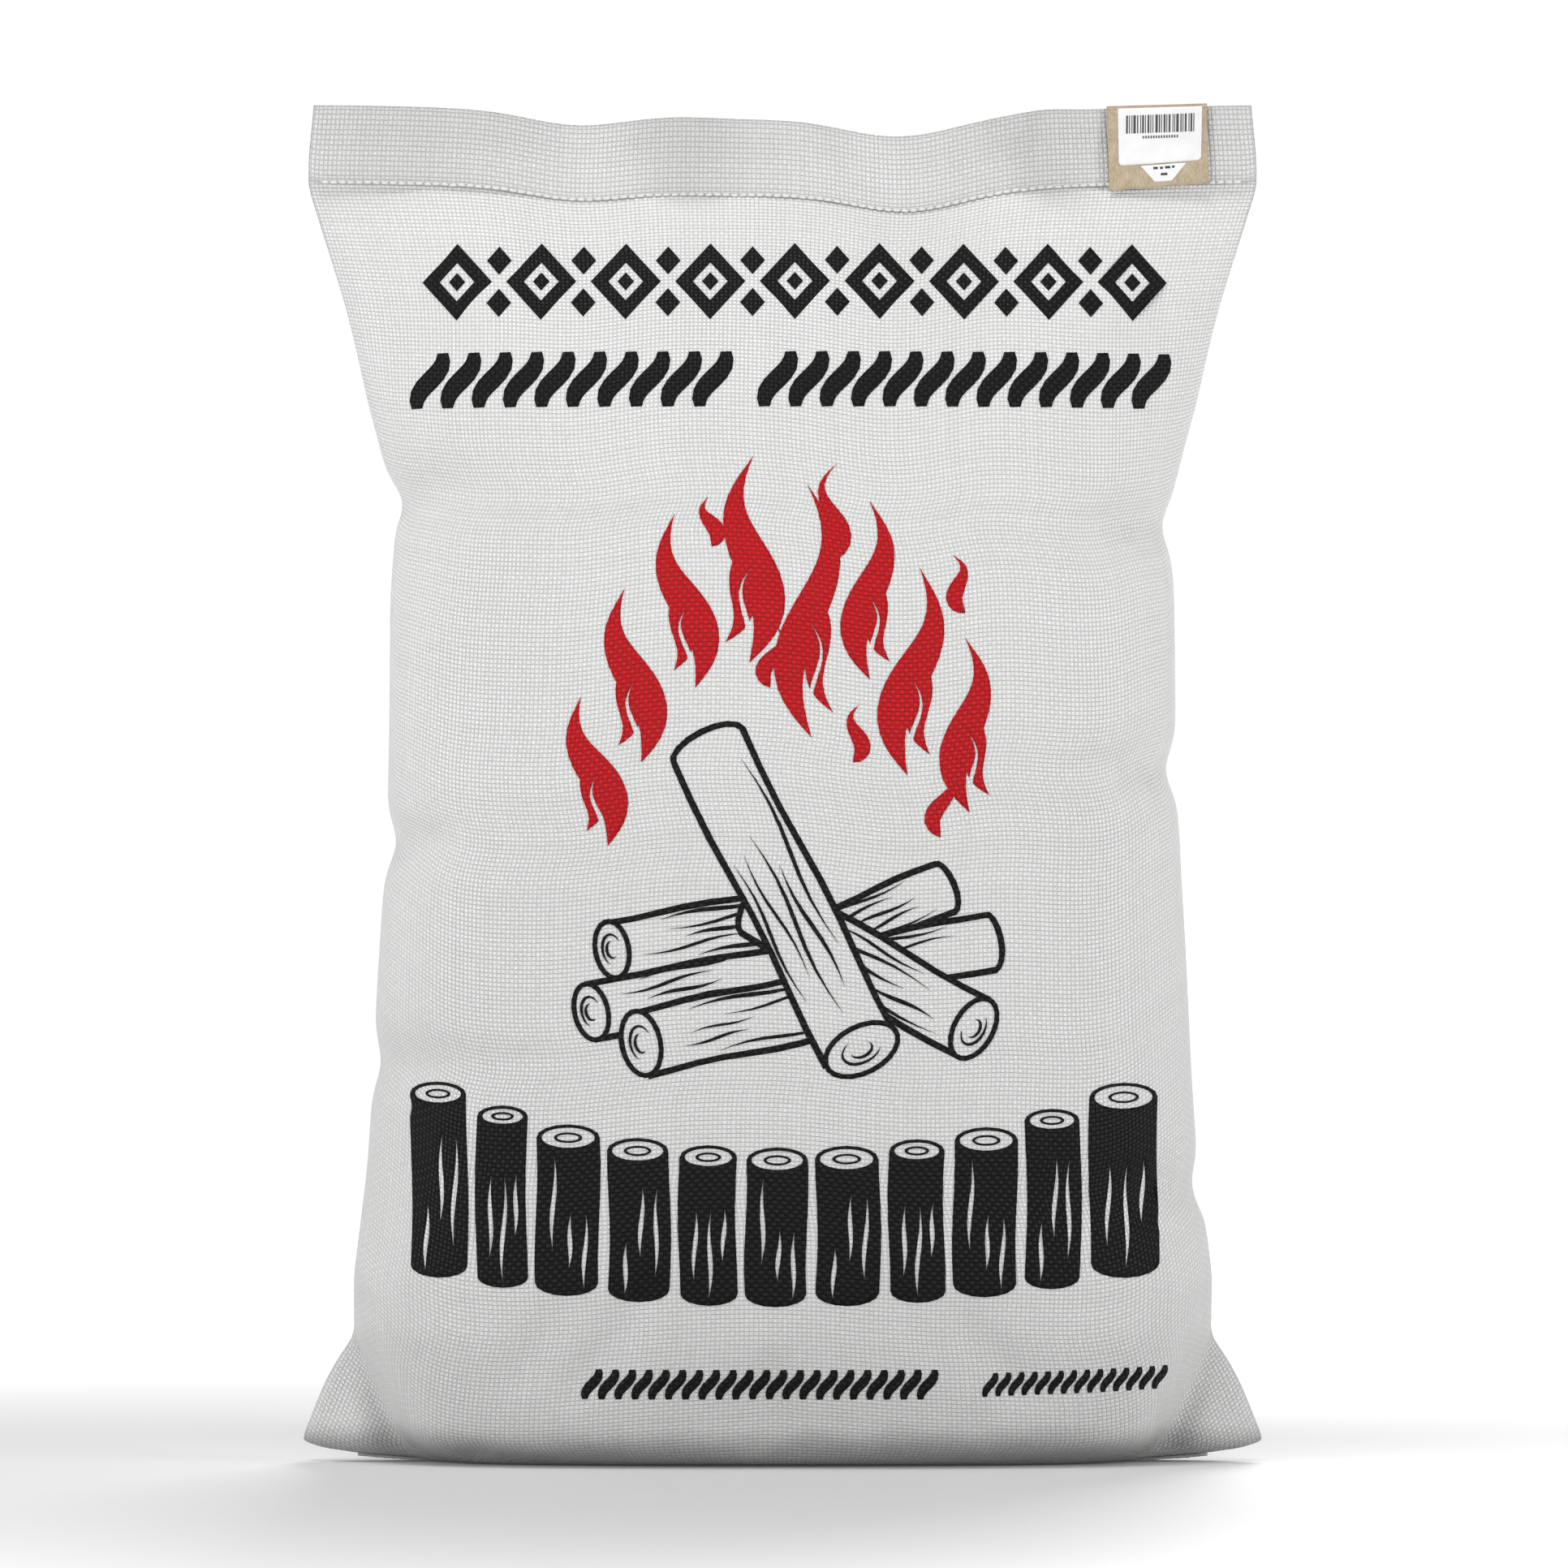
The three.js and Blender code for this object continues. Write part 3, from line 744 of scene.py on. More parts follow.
def log(cut, far, radius, seed):
    """A round log seen from the side, its cut end towards the viewer, as layers of ink."""
    cut, far = np.array(cut, float), np.array(far, float)
    run = far - cut
    length = np.linalg.norm(run)
    along = run / length
    side = np.array([-along[1], along[0]])
    turn = math.atan2(along[1], along[0])
    random = np.random.default_rng(seed)
    line = OUTLINE_WIDTH

    def band(half, tail):
        t = np.linspace(0, 1, 9)
        wave = 0.05 * half * np.sin(t * 9 + seed)
        upper = [cut + along * length * v + side * (half + w) for v, w in zip(t, wave)]
        tip = [far + along * tail * math.cos(a) * 0.5 + side * half * math.sin(a)
               for a in np.linspace(math.pi / 2, -math.pi / 2, 9)[1:-1]]
        lower = [cut + along * length * v - side * (half - w) for v, w in zip(t, wave)]
        return np.array(upper + tip + lower[::-1])

    shapes = [(band(radius, radius * 0.9), BLACK), (band(radius - line, radius * 0.9 - 2 * line), BARE)]
    for k, level in enumerate(np.linspace(-0.66, 0.66, 5)):
        start = 0.12 + 0.3 * random.random()
        reach = 0.3 + 0.35 * random.random()
        a = cut + along * length * start + side * radius * level
        b = cut + along * length * min(0.97, start + reach) + side * radius * (level + 0.08)
        shapes.append((swept(a, b, 0.02 * (-1) ** k, 1.1 + 1.1 * random.random(), 1.0, 9), BLACK))
    face = (radius * 0.62, radius)
    shapes.append((ellipse(cut, face, turn), BLACK))
    shapes.append((ellipse(cut, (face[0] - line * 0.8, face[1] - line * 0.8), turn), BARE))
    for k, share in enumerate((0.62, 0.34)):
        arc = np.linspace(0.5 + k, 4.2 + k, 12)
        ring = np.array([cut + along * face[0] * share * 0.8 * math.cos(v) + side * face[1] * share * 0.8
                         * math.sin(v) for v in arc])
        shapes.append((ribbon(ring, 1.5 * np.sin(np.linspace(0.15, math.pi - 0.15, 12))), BLACK))
    return shapes


# %% [markdown]
# ## What is drawn
# Such a sack shows what is in it: here a plain camp fire, in the black and red of a two-colour press.
# Round it go borders that say nothing: lozenges, twisted rope, and a row of upright billets whose tops
# and feet are arched. Each is laid out by a short loop, so that one number moves a whole row.

# %% The fire
# Foot and tip of each flame and its width, left to right.
FLAMES = [(-84, 296, -97, 368, 17), (-68, 336, -76, 420, 18), (-42, 372, -52, 456, 17),
          (-16, 384, -14, 484, 19), (14, 348, 12, 470, 17), (42, 376, 42, 462, 16),
          (60, 330, 66, 430, 18), (90, 312, 88, 396, 16)]
SPARKS = [(-6, 372, -3, 402), (34, 336, 37, 364), (76, 300, 78, 334), (-34, 440, -36, 464),
          (88, 408, 82, 436), (22, 432, 26, 480)]
# Cut end, far end and radius of each log, from the back of the heap to the front.
LOGS = [((4, 244), (78, 276), 14), ((12, 232), (100, 250), 15), ((-92, 216), (10, 240), 15),
        ((-82, 246), (16, 264), 15), ((-68, 201), (30, 222), 17), ((92, 208), (-12, 268), 17),
        ((38, 198), (-36, 344), 20)]


def campfire():
    """Crossed logs under a fan of flames, about 215 mm wide and 300 mm tall."""
    shapes = []
    for k, (foot_x, foot_z, tip_x, tip_z, width) in enumerate(FLAMES):
        side = -1 if k < len(FLAMES) / 2 else 1
        shapes += flame((foot_x, foot_z), (tip_x, tip_z), 0.085 * side, width)
    for k, (foot_x, foot_z, tip_x, tip_z) in enumerate(SPARKS):
        shapes.append((swept((foot_x, foot_z), (tip_x, tip_z), 0.13 * (-1) ** k, 8), RED))
    for k, (cut, far, radius) in enumerate(LOGS):
        shapes += log(cut, far, radius, k + 1)
    return shapes


fire = campfire()
print("fire", len(fire), "layers")


# %% The borders of lozenges and rope
def lozenge(x, z, half_wide, half_tall):
    return np.array([(x - half_wide, z), (x, z - half_tall), (x + half_wide, z), (x, z + half_tall)])


def lozenge_border(start=-179, end=191, middle=570, count=9):
    """A band of lozenges across the top of the face, with pairs of small ones between them."""
    shapes = []
    pitch = (end - start) / count
    for k in range(count):
        x = start + pitch * (k + 0.5)
        shapes.append((lozenge(x, middle, 17, 19), BLACK))
        shapes.append((lozenge(x, middle, 8.5, 9.5), BARE))
        shapes.append((lozenge(x, middle, 4, 4.5), BLACK))
        if k < count - 1:
            for lift in (-10.5, 10.5):
                shapes.append((lozenge(x + pitch / 2, middle + lift, 6, 7), BLACK))
    return shapes


def rope(start, end, z, height, pitch, rise=0.0):
    """A twisted rope border: a row of slanting strands, each a little S, in place of a line of words."""
    shapes = []
    count = int((end - start) / pitch)
    for k in range(count):
        x = start + (end - start) * (k + 0.5) / count
        low = z + rise * (x - start)
        foot, head = (x - 0.42 * pitch, low), (x + 0.42 * pitch, low + height)
        t = np.linspace(0, 1, 9)[:, None]
        line = np.array(foot) + (np.array(head) - foot) * t
        line[:, 0] -= 0.16 * pitch * np.sin(2 * math.pi * t[:, 0])
        shapes.append((ribbon(line, 0.62 * pitch * np.sin(math.pi * (0.1 + 0.8 * t[:, 0])) ** 0.5), BLACK))
    return shapes


# %% The row of billets
def billet(x0, x1, low, high, k):
    """An upright billet: a dark body with bare grain, and a bare cut end on top with rings."""
    middle, half = (x0 + x1) / 2, (x1 - x0) / 2
    cap = 0.42 * half
    t = np.linspace(0, 1, 7)
    wave = 0.7 * np.sin(t * 5 + 2 * k)
    heights = low + cap + (high - low - 2 * cap) * t
    left = np.stack([x0 + wave, heights], axis=1)
    right = np.stack([x1 + wave, heights], axis=1)
    turn = np.linspace(math.pi, 0, 9)[1:-1]
    crown = np.stack([middle + wave[-1] + half * np.cos(turn), high - cap + cap * np.sin(turn)], axis=1)
    root = np.stack([middle + wave[0] + half * np.cos(turn), low + cap - cap * np.sin(turn)], axis=1)
    shapes = [(np.concatenate([left, crown, right[::-1], root[::-1]]), BLACK)]
    top = (middle + wave[-1], high - cap)
    shapes.append((ellipse(top, (half - 2.4, cap - 1.6), 0), BARE))
    shapes.append((ellipse(top, (half * 0.45, cap * 0.4), 0), BLACK))
    shapes.append((ellipse(top, (half * 0.45 - 1.5, cap * 0.4 - 1), 0), BARE))
    tall = high - low - 3 * cap
    for j, share in enumerate((0.26, 0.52, 0.76)):
        foot = low + cap * 0.6 + tall * 0.3 * ((k + 2 * j) % 3) / 2
        head = foot + tall * (0.42 + 0.14 * ((k + j) % 3))
        x = x0 + (x1 - x0) * share
        tip = (x + 1, min(head, high - 2.4 * cap))
        shapes.append((swept((x, foot), tip, 0.015 * (-1) ** (k + j), 2.2, 0.9), BARE))
    return shapes


BILLET_EDGES = [-182, -150, -121, -86, -52, -20, 14, 49, 80, 115, 146, 184]
BILLET_GAP = 2.2


def palisade():
    """Upright billets side by side, in a band whose top and foot are arched."""
    shapes = []
    for k, (x0, x1) in enumerate(zip(BILLET_EDGES[:-1], BILLET_EDGES[1:])):
        away = abs((x0 + x1) / 2) / 183
        low, high = 74 + 16 * away**2, 151 + 38 * away**2.2
        shapes += billet(x0 + BILLET_GAP, x1 - BILLET_GAP, low, high, k)
    return shapes


print("billets", len(BILLET_EDGES) - 1)

# %% [markdown]
# ## From drawings to ink
# The sheets are cut flat first and laid afterwards, because cutting on a bent surface is much harder.
# Ink is as thin as a coat of paint, so a thin Solidify closes each sheet into a film.

# %% Cutting the layers into sheets of ink
def cut_sheets(shapes):
    """Each ink's triangles, from the layers in order, with a fine grid of extra points."""
    points, rings = [], []
    for outline_points, _ in shapes:
        first = len(points)
        x, z = outline_points.T
        turns_left = np.dot(x, np.roll(z, -1)) - np.dot(z, np.roll(x, -1)) > 0
        points += [Vector(p) for p in (outline_points if turns_left else outline_points[::-1])]
        rings.append(list(range(first, len(points))))
    everything = np.array([tuple(p) for p in points])
    low, high = everything.min(axis=0) - GRID, everything.max(axis=0) + GRID
    for j, z in enumerate(np.arange(low[1], high[1], GRID)):
        for x in np.arange(low[0] + GRID * 0.5 * (j % 2), high[0], GRID):
            points.append(Vector((x, z)))
    spots, _, triangles, _, _, over = geometry.delaunay_2d_cdt(points, [], rings, 1, 1e-4)
    sheets = {BLACK: [], RED: []}
    for triangle, layers in zip(triangles, over):
        ink = shapes[max(layers)][1] if layers else BARE
        if ink is not BARE:
            sheets[ink].append(tuple(triangle))
    return spots, sheets


# %% Finding places on the cloth
def shown_mesh(obj):
    """A copy of an object's mesh as its modifiers show it."""
    seen = obj.evaluated_get(bpy.context.evaluated_depsgraph_get())
    return bpy.data.meshes.new_from_object(seen)


class Surface:
    """The shown cloth, with a way to find the place, direction and UV where a ray meets it."""

    def __init__(self, obj):
        mesh = shown_mesh(obj)
        mesh.calc_loop_triangles()
        self.points = [v.co.copy() for v in mesh.vertices]
        self.normals = [v.normal.copy() for v in mesh.vertices]
        self.triangles = [tuple(t.vertices) for t in mesh.loop_triangles]
        uv = mesh.uv_layers["weave"].data
        self.uv = [[Vector(uv[c].uv) for c in t.loops] for t in mesh.loop_triangles]
        self.tree = BVHTree.FromPolygons(self.points, self.triangles)
        bpy.data.meshes.remove(mesh)

    def meet(self, start, direction):
        """Where a ray meets the cloth: the place, the way it faces and its flat place."""
        place, _, number, _ = self.tree.ray_cast(Vector(start), Vector(direction))
        corners = [self.points[k] for k in self.triangles[number]]
        a, b, c = corners
        normal = (b - a).cross(c - a)
        area = normal.length_squared
        share = [(c - b).cross(place - b).dot(normal) / area, (a - c).cross(place - c).dot(normal) / area]
        share.append(1 - share[0] - share[1])
        up = sum((self.normals[k] * s for k, s in zip(self.triangles[number], share)), Vector())
        uv = sum((u * s for u, s in zip(self.uv[number], share)), Vector((0, 0)))
        return place, up.normalized(), uv


cloth_surface = Surface(sack)
print("shown cloth", len(cloth_surface.triangles), "triangles")

# %% Laying the ink on the cloth
def lay_ink(name, jobs, ink, material, cloth):
    """One piece of ink over the cloth, from the sheets of several drawings."""
    ink_mesh = bpy.data.meshes.new(name)
    verts, triangles, uvs = [], [], []
    for spots, sheets in jobs:
        number = {}
        for triangle in sheets[ink]:
            for k in triangle:
                if k not in number:
                    x, z = spots[k][0] * NEARER, EYE_LEVEL + (spots[k][1] - EYE_LEVEL) * NEARER
                    place, up, uv = cloth.meet((x * MM, -1, z * MM), (0, 1, 0))
                    number[k] = len(verts)
                    verts.append(place + up * INK_LIFT)
                    uvs.append(uv)
            triangles.append([number[k] for k in triangle])
    ink_mesh.from_pydata(verts, [], triangles)
    ink_mesh.update()
    layer = ink_mesh.uv_layers.new(name="weave")
    for loop in ink_mesh.loops:
        layer.data[loop.index].uv = uvs[loop.vertex_index]
    ink_mesh.shade_smooth()
    ink_mesh.materials.append(material)
    piece = bpy.data.objects.new(name, ink_mesh)
    bpy.context.collection.objects.link(piece)
    if sum(p.normal.y for p in ink_mesh.polygons) > 0:
        ink_mesh.flip_normals()
    film = piece.modifiers.new("film", "SOLIDIFY")
    film.thickness = INK_THICK
    film.offset = -1
    print(name, len(triangles), "triangles")
    return piece


drawings = [fire, lozenge_border(), palisade(),
            rope(-179, -26, 508, 27, 15), rope(-10, 187, 508, 27, 15),
            rope(-96, 74, 29, 14.5, 8), rope(97, 186, 30, 11.5, 6, 0.03)]
jobs = [cut_sheets(shapes) for shapes in drawings]
print_black = lay_ink("print_black", jobs, BLACK, black_ink, cloth_surface)
print_red = lay_ink("print_red", jobs, RED, red_ink, cloth_surface)

# %% [markdown]
# ## The sewn threads
# A chain stitch shows straight stitches on the needle's side and a chain of loops on the other side.
# One small stitch and one loop are modelled, then repeated along the seam with a little irregularity,
# each laid on the cloth where it is, because a straight row would float off the hem's waves.

# %% One stitch, one loop
STITCH = 4.1 * MM
THREAD_RADIUS = 0.68 * MM
STITCH_HALF = STITCH * 0.43
LOOP_RADIUS = 1.15 * MM


def add_stitch(bm):
    """A stitch along X, fat in the middle, with its ends going down into the cloth."""
    made = bmesh.ops.create_uvsphere(bm, u_segments=8, v_segments=6, radius=1)["verts"]
    bmesh.ops.rotate(bm, verts=made, matrix=Matrix.Rotation(math.pi / 2, 3, "Y"))
    bmesh.ops.scale(bm, verts=made, vec=(STITCH_HALF, THREAD_RADIUS, THREAD_RADIUS * 1.1))
    for v in made:
        v.co.y += 0.5 * THREAD_RADIUS * (v.co.x / STITCH_HALF) ** 4


def add_loop(bm):
    """A long loop of thread in the XZ plane, longer than the stitch so that it links with the next."""
    first = bmesh.ops.create_circle(bm, segments=5, radius=THREAD_RADIUS * 0.8)["verts"]
    bmesh.ops.translate(bm, verts=first, vec=(LOOP_RADIUS, 0, 0))
    ring = list({e for v in first for e in v.link_edges})
    bmesh.ops.spin(bm, geom=first + ring, cent=(0, 0, 0), axis=(0, 1, 0), angle=2 * math.pi, steps=12,
                   use_merge=True)


def sewn(name, count, add, put):
    """A row of stitches or loops, each put in place by a function of its number."""
    bm = bmesh.new()
    for k in range(count):
        before = set(bm.verts)
        add(bm)
        made = [v for v in bm.verts if v not in before]
        bmesh.ops.transform(bm, verts=made, matrix=put(k))
    bmesh.ops.recalc_face_normals(bm, faces=bm.faces)
    mesh = bpy.data.meshes.new(name)
    bm.to_mesh(mesh)
    bm.free()
    mesh.shade_smooth()
    piece = bpy.data.objects.new(name, mesh)
    bpy.context.collection.objects.link(piece)
    print(name, count, "repeats,", len(mesh.polygons), "faces")
    return piece


# %% The seam under the hem
TOP_SEAM = 222 * MM
STITCH_RISE = -0.1
WOBBLE = 0.35
THREAD_LIFT = {-1: 0.25 * MM, 1: 0.5 * MM}
TOP_COUNT = int(2 * TOP_SEAM / STITCH)


def on_seam(side):
    """Puts a stitch on the front (side -1) or back (side 1) of the hem, following its waves."""
    def put(k):
        x = -TOP_SEAM + (k + 0.5) * STITCH
        rise = STITCH_RISE + WOBBLE * noise.noise(Vector((k * 1.7, side, 0)))
        z = HEM_TOP - HEM_HEIGHT + rise - bumps(x / MM, SAGS)
        step = bumps((x + MM) / MM, SAGS) - bumps((x - MM) / MM, SAGS)
        place, _, _ = cloth_surface.meet((x, side, z * MM), (0, -side, 0))
        ahead, _, _ = cloth_surface.meet((x + 2 * MM, side, z * MM), (0, -side, 0))
        turn = Matrix.Rotation(math.atan2(ahead.y - place.y, 2 * MM), 4, "Z")
        tilt = Matrix.Rotation(math.atan2(step, 2) + 0.05 * (-1) ** k, 4, "Y")
        flip = Matrix.Scale(-1, 4, (0, 1, 0)) if side > 0 else Matrix()
        lift = Vector((0, side * THREAD_LIFT[side], 0))
        return Matrix.Translation(place + lift) @ turn @ tilt @ flip
    return put


top_stitches = sewn("top_stitches", TOP_COUNT, add_stitch, on_seam(-1))


def chained(put):
    """The same places, with each loop made long enough to catch the next."""
    def place(k):
        return put(k) @ Matrix.Rotation(0.12, 4, "Z") @ Matrix.Scale(2.5, 4, (1, 0, 0))
    return place


top_chain = sewn("top_chain", TOP_COUNT, add_loop, chained(on_seam(1)))

# %% [markdown]
# ## The foot of the sack
# The foot is closed the same way: both panels are folded over together and sewn, and the sack stands
# on the fold. It is a flat strip, so it starts as a grid, is carried up against the cloth above it and
# is given a thickness.

# %% The folded foot
FOOT_HALF = 204 * MM
FOOT_FRONT, FOOT_REAR = -9.5 * MM, 5.5 * MM
FOOT_THICK = 1.3 * MM
FOOT_LOW = 0.85 * MM  # the strip's lower face, clear of the ground by its threads


def grid_piece(name, across, up, place, flat_place):
    """A grid of across by up cells laid by place(u, v) from 0 to 1, with its flat places as UV."""
    bm = bmesh.new()
    bmesh.ops.create_grid(bm, x_segments=across, y_segments=up, size=0.5)
    layer = bm.loops.layers.uv.new("weave")
    shares = {v: (v.co.x + 0.5, v.co.y + 0.5) for v in bm.verts}
    for face in bm.faces:
        for loop in face.loops:
            loop[layer].uv = flat_place(*shares[loop.vert])
    for v, (s, t) in shares.items():
        v.co = place(s, t)
    mesh = bpy.data.meshes.new(name)
    bm.to_mesh(mesh)
    bm.free()
    mesh.shade_smooth()
    piece = bpy.data.objects.new(name, mesh)
    bpy.context.collection.objects.link(piece)
    return piece


def thicken(piece, thickness, offset=-1):
    """Gives a sheet its thickness. offset -1 puts it behind the faces, and 1 in front."""
    solid = piece.modifiers.new("thickness", "SOLIDIFY")
    solid.thickness = thickness
    solid.offset = offset


# %% The strip, carried up under the cloth
def foot_place(s, t):
    """A place on the strip's upper face, just under the cloth, with a slightly wavy cut edge."""
    x = (2 * s - 1) * FOOT_HALF
    wave = 0.6 * MM * noise.noise(Vector((x * 40, 0, 3)))
    y = FOOT_FRONT + wave + (FOOT_REAR - FOOT_FRONT) * t
    above, _, _ = cloth_surface.meet((x, y, -0.1), (0, 0, 1))
    return Vector((x, y, max(FOOT_LOW + FOOT_THICK, above.z - 0.2 * MM)))


def foot_flat(s, t):
    return ((2 * s - 1) * FOOT_HALF, -(FOOT_REAR - FOOT_FRONT) * t)


foot_fold = grid_piece("foot_fold", 110, 5, foot_place, foot_flat)
thicken(foot_fold, FOOT_THICK)
foot_fold.data.materials.append(white_weave)
print("foot strip", round(2 * FOOT_HALF / MM), "mm long,", len(foot_fold.data.polygons), "faces")

# %% Its seam
FOOT_SEAM = 197 * MM
FOOT_COUNT = int(2 * FOOT_SEAM / STITCH)


def on_foot(z):
    """Puts a stitch along the middle of the strip, at a height from its upper face."""
    def put(k):
        x = -FOOT_SEAM + (k + 0.5) * STITCH
        y = (FOOT_FRONT + FOOT_REAR) / 2 + 0.3 * MM * noise.noise(Vector((k * 1.3, 7, 0)))
        upper = foot_place(0.5 + x / (2 * FOOT_HALF), 0.5).z
        return Matrix.Translation((x, y, upper + z)) @ Matrix.Rotation(math.pi / 2, 4, "X")
    return put


foot_stitches = sewn("foot_stitches", FOOT_COUNT, add_stitch, on_foot(-FOOT_THICK - 0.05 * MM))
foot_chain = sewn("foot_chain", FOOT_COUNT, add_loop, chained(on_foot(-0.1 * MM)))

# %% [markdown]
# ## The card tag and its labels
# A piece of brown card is folded over the hem and held there by its own spring, and two paper labels
# are stuck on it. Card is a flat sheet bent one way only, so each is a grid rolled round a profile.
# The card's lower edge was torn, not cut, so it wanders and its fibres stand out.

# %% The folded card
CARD_THICK = 0.5 * MM
CARD_GAP = 0.5
HEM_FRONT, HEM_BACK = 2.9, 1.9  # the hem's two faces, from its middle
FOLD_RISE, FOLD_START = 1.9, 1.6
TAG_DROP = 37
BACK_SHORTER = 2
TAG_FLARE = 3.2 * 0.9  # how far each leaf stands off at its foot
TAG_TURN = 179.5  # where the slanting foot has its nominal height
TAG_TILT = 0.055
TAG_LEAN = 0.03
LEAF_STEPS, FOLD_STEPS = 14, 9
tag_left, tag_right = TAG_LOW.x / MM + 0.3, TAG_HIGH.x / MM - 0.3


def tag_profile(front_run, back_run):
    """The card seen from its end, as (y, z): up the front leaf, over the fold and down the back leaf."""
    front_y, back_y = -HEM_FRONT - CARD_GAP, HEM_BACK + CARD_GAP
    middle, half = (front_y + back_y) / 2, (back_y - front_y) / 2
    top = CARD_GAP - FOLD_START
    line = []
    for t in np.linspace(1, 0, LEAF_STEPS):
        line.append((front_y - TAG_FLARE * (0.3 * t + 0.7 * max(0, 2 * t - 1)), top - t * front_run))
    for a in np.linspace(math.pi, 0, FOLD_STEPS):
        line.append((middle + half * math.cos(a), top + FOLD_RISE * math.sin(a)))
    for t in np.linspace(0, 1, LEAF_STEPS):
        line.append((back_y + TAG_FLARE * t, top - t * back_run))
    return np.array(line)


def torn(x, seed):
    """How far the torn edge stands from a straight cut, in millimetres."""
    slow = noise.noise(Vector((x / 9, seed, 0)))
    quick = noise.noise(Vector((x / 1.4, seed, 4)))
    return 0.8 * slow + 0.55 * quick


def tag_line(x):
    """The card's profile at one place along the hem, from the front's torn edge to the back's."""
    lean = TAG_TILT * (x - TAG_TURN)
    rows = tag_profile(TAG_DROP - lean - torn(x, 1), TAG_DROP - BACK_SHORTER - torn(x, 2))
    top = HEM_TOP - bumps(x, SAGS)
    back = bumps(x, SWINGS)
    slope = bumps(x, LEANS) + LEAN
    return [Vector((x, back + slope * (HEM_HEIGHT + z) + y, top + z)) * MM for y, z in rows]


def tag_place(s, t):
    """A place on the card, across it and along it. The front leaf leans a little to the right."""
    x = tag_left + (tag_right - tag_left) * s
    line = tag_line(x)
    at = t * (len(line) - 1)
    k = min(int(at), len(line) - 2)
    place = line[k].lerp(line[k + 1], at - k)
    if t <= 0.5:
        place.x += TAG_LEAN * (HEM_TOP * MM - place.z)
    return place


card_tag = grid_piece("card_tag", 60, 72, tag_place, lambda s, t: (s * 0.05, t * 0.08))
thicken(card_tag, CARD_THICK, 1)
print("card", round(tag_right - tag_left, 1), "mm wide")

# %% Places on the front of the card
card_shown = shown_mesh(card_tag)
card_tree = BVHTree.FromPolygons([v.co.copy() for v in card_shown.vertices],
                                 [tuple(p.vertices) for p in card_shown.polygons])
bpy.data.meshes.remove(card_shown)


def on_tag(x, z, lift):
    """A place on the front of the card, lifted off it."""
    place, _, _, _ = card_tree.ray_cast(Vector((x * MM, -1, z * MM)), Vector((0, 1, 0)))
    return place + Vector((0, -lift, 0))


# %% The two labels
LABEL_LEFT, LABEL_RIGHT = 161, 201.3
LABEL_FOOT = 26.2  # how far down the wide label reaches
LABEL_TOP = 0.2  # how far below the fold it starts
LABEL_TILT = 0.07
LABEL_CORNER = 1.4
KEY_MIDDLE, KEY_FOOT_HALF, KEY_TOP_HALF = 183, 4, 11.2
KEY_DROP, KEY_HEIGHT = 0.7, 8.2
PAPER_THICK = 0.12 * MM
PAPER_LIFT = 0.22 * MM


def label_foot(x):
    """The height of the wide label's slanting foot."""
    return HEM_TOP - LABEL_FOOT + LABEL_TILT * (x - LABEL_RIGHT)


def wide_label_place(s, t):
    """A place on the wide label, whose lower corners are rounded."""
    left, right = LABEL_LEFT + 0.6 * (1 - t), LABEL_RIGHT - 0.2 * (1 - t)
    x = left + (right - left) * s
    low = label_foot(x) + LABEL_CORNER * max(0, 1 - min(s, 1 - s) * 24) ** 2
    high = HEM_TOP - bumps(x, SAGS) - LABEL_TOP
    return on_tag(x, low + (high - low) * t, PAPER_LIFT)


def key_label_place(s, t):
    """A place on the small label under it, which is wide at the top and narrow at the foot."""
    x = KEY_MIDDLE + (2 * s - 1) * (KEY_FOOT_HALF + (KEY_TOP_HALF - KEY_FOOT_HALF) * t)
    high = label_foot(x) - KEY_DROP
    return on_tag(x, high - KEY_HEIGHT * (1 - t), PAPER_LIFT)


bar_label = grid_piece("bar_label", 40, 26, wide_label_place, lambda s, t: (s * 0.04, t * 0.025))
key_label = grid_piece("key_label", 20, 10, key_label_place, lambda s, t: (s * 0.02, t * 0.01))
for label in (bar_label, key_label):
    thicken(label, PAPER_THICK)
    print(label.name, len(label.data.polygons), "faces")

# %% Bars and ticks printed on the labels
BAR_WIDTHS = (0.9, 0.45, 0.45, 1.2, 0.6, 0.45, 0.9, 0.45)
BAR_GAPS = (0.5, 0.75, 0.45, 0.6, 0.9, 0.45)
BARS_LEFT, BARS_RIGHT = 165.0, 197.4
BAR_LOW, BAR_HIGH = 638.0, 646.6
TICKS, TICKS_LEFT, TICK_PITCH, TICK_WIDTH = 14, 173, 1.25, 0.7
TICK_LOW, TICK_HIGH = 635.4, 636.7
BAR_TILT = 0.03
INK_RISE = 0.06 * MM
# Left end, height and width of the ticks on the small label.
KEY_TICKS = [(178.2, 620.6, 2.2), (181.4, 620.6, 1.4), (183.8, 620.8, 2.6), (187.2, 621, 1.2),
             (181.8, 617.6, 3.2)]
KEY_TICK_HEIGHT = 1.2


def add_bar(bm, left, wide, low, high):
    """One bar or tick of ink, with its points laid on the paper."""
    made = bmesh.ops.create_grid(bm, x_segments=1, y_segments=4, size=0.5)["verts"]
    for v in made:
        x = left + wide * (v.co.x + 0.5)
        z = low + (high - low) * (v.co.y + 0.5) + BAR_TILT * (x - LABEL_LEFT)
        v.co = on_tag(x, z, PAPER_LIFT + INK_RISE)


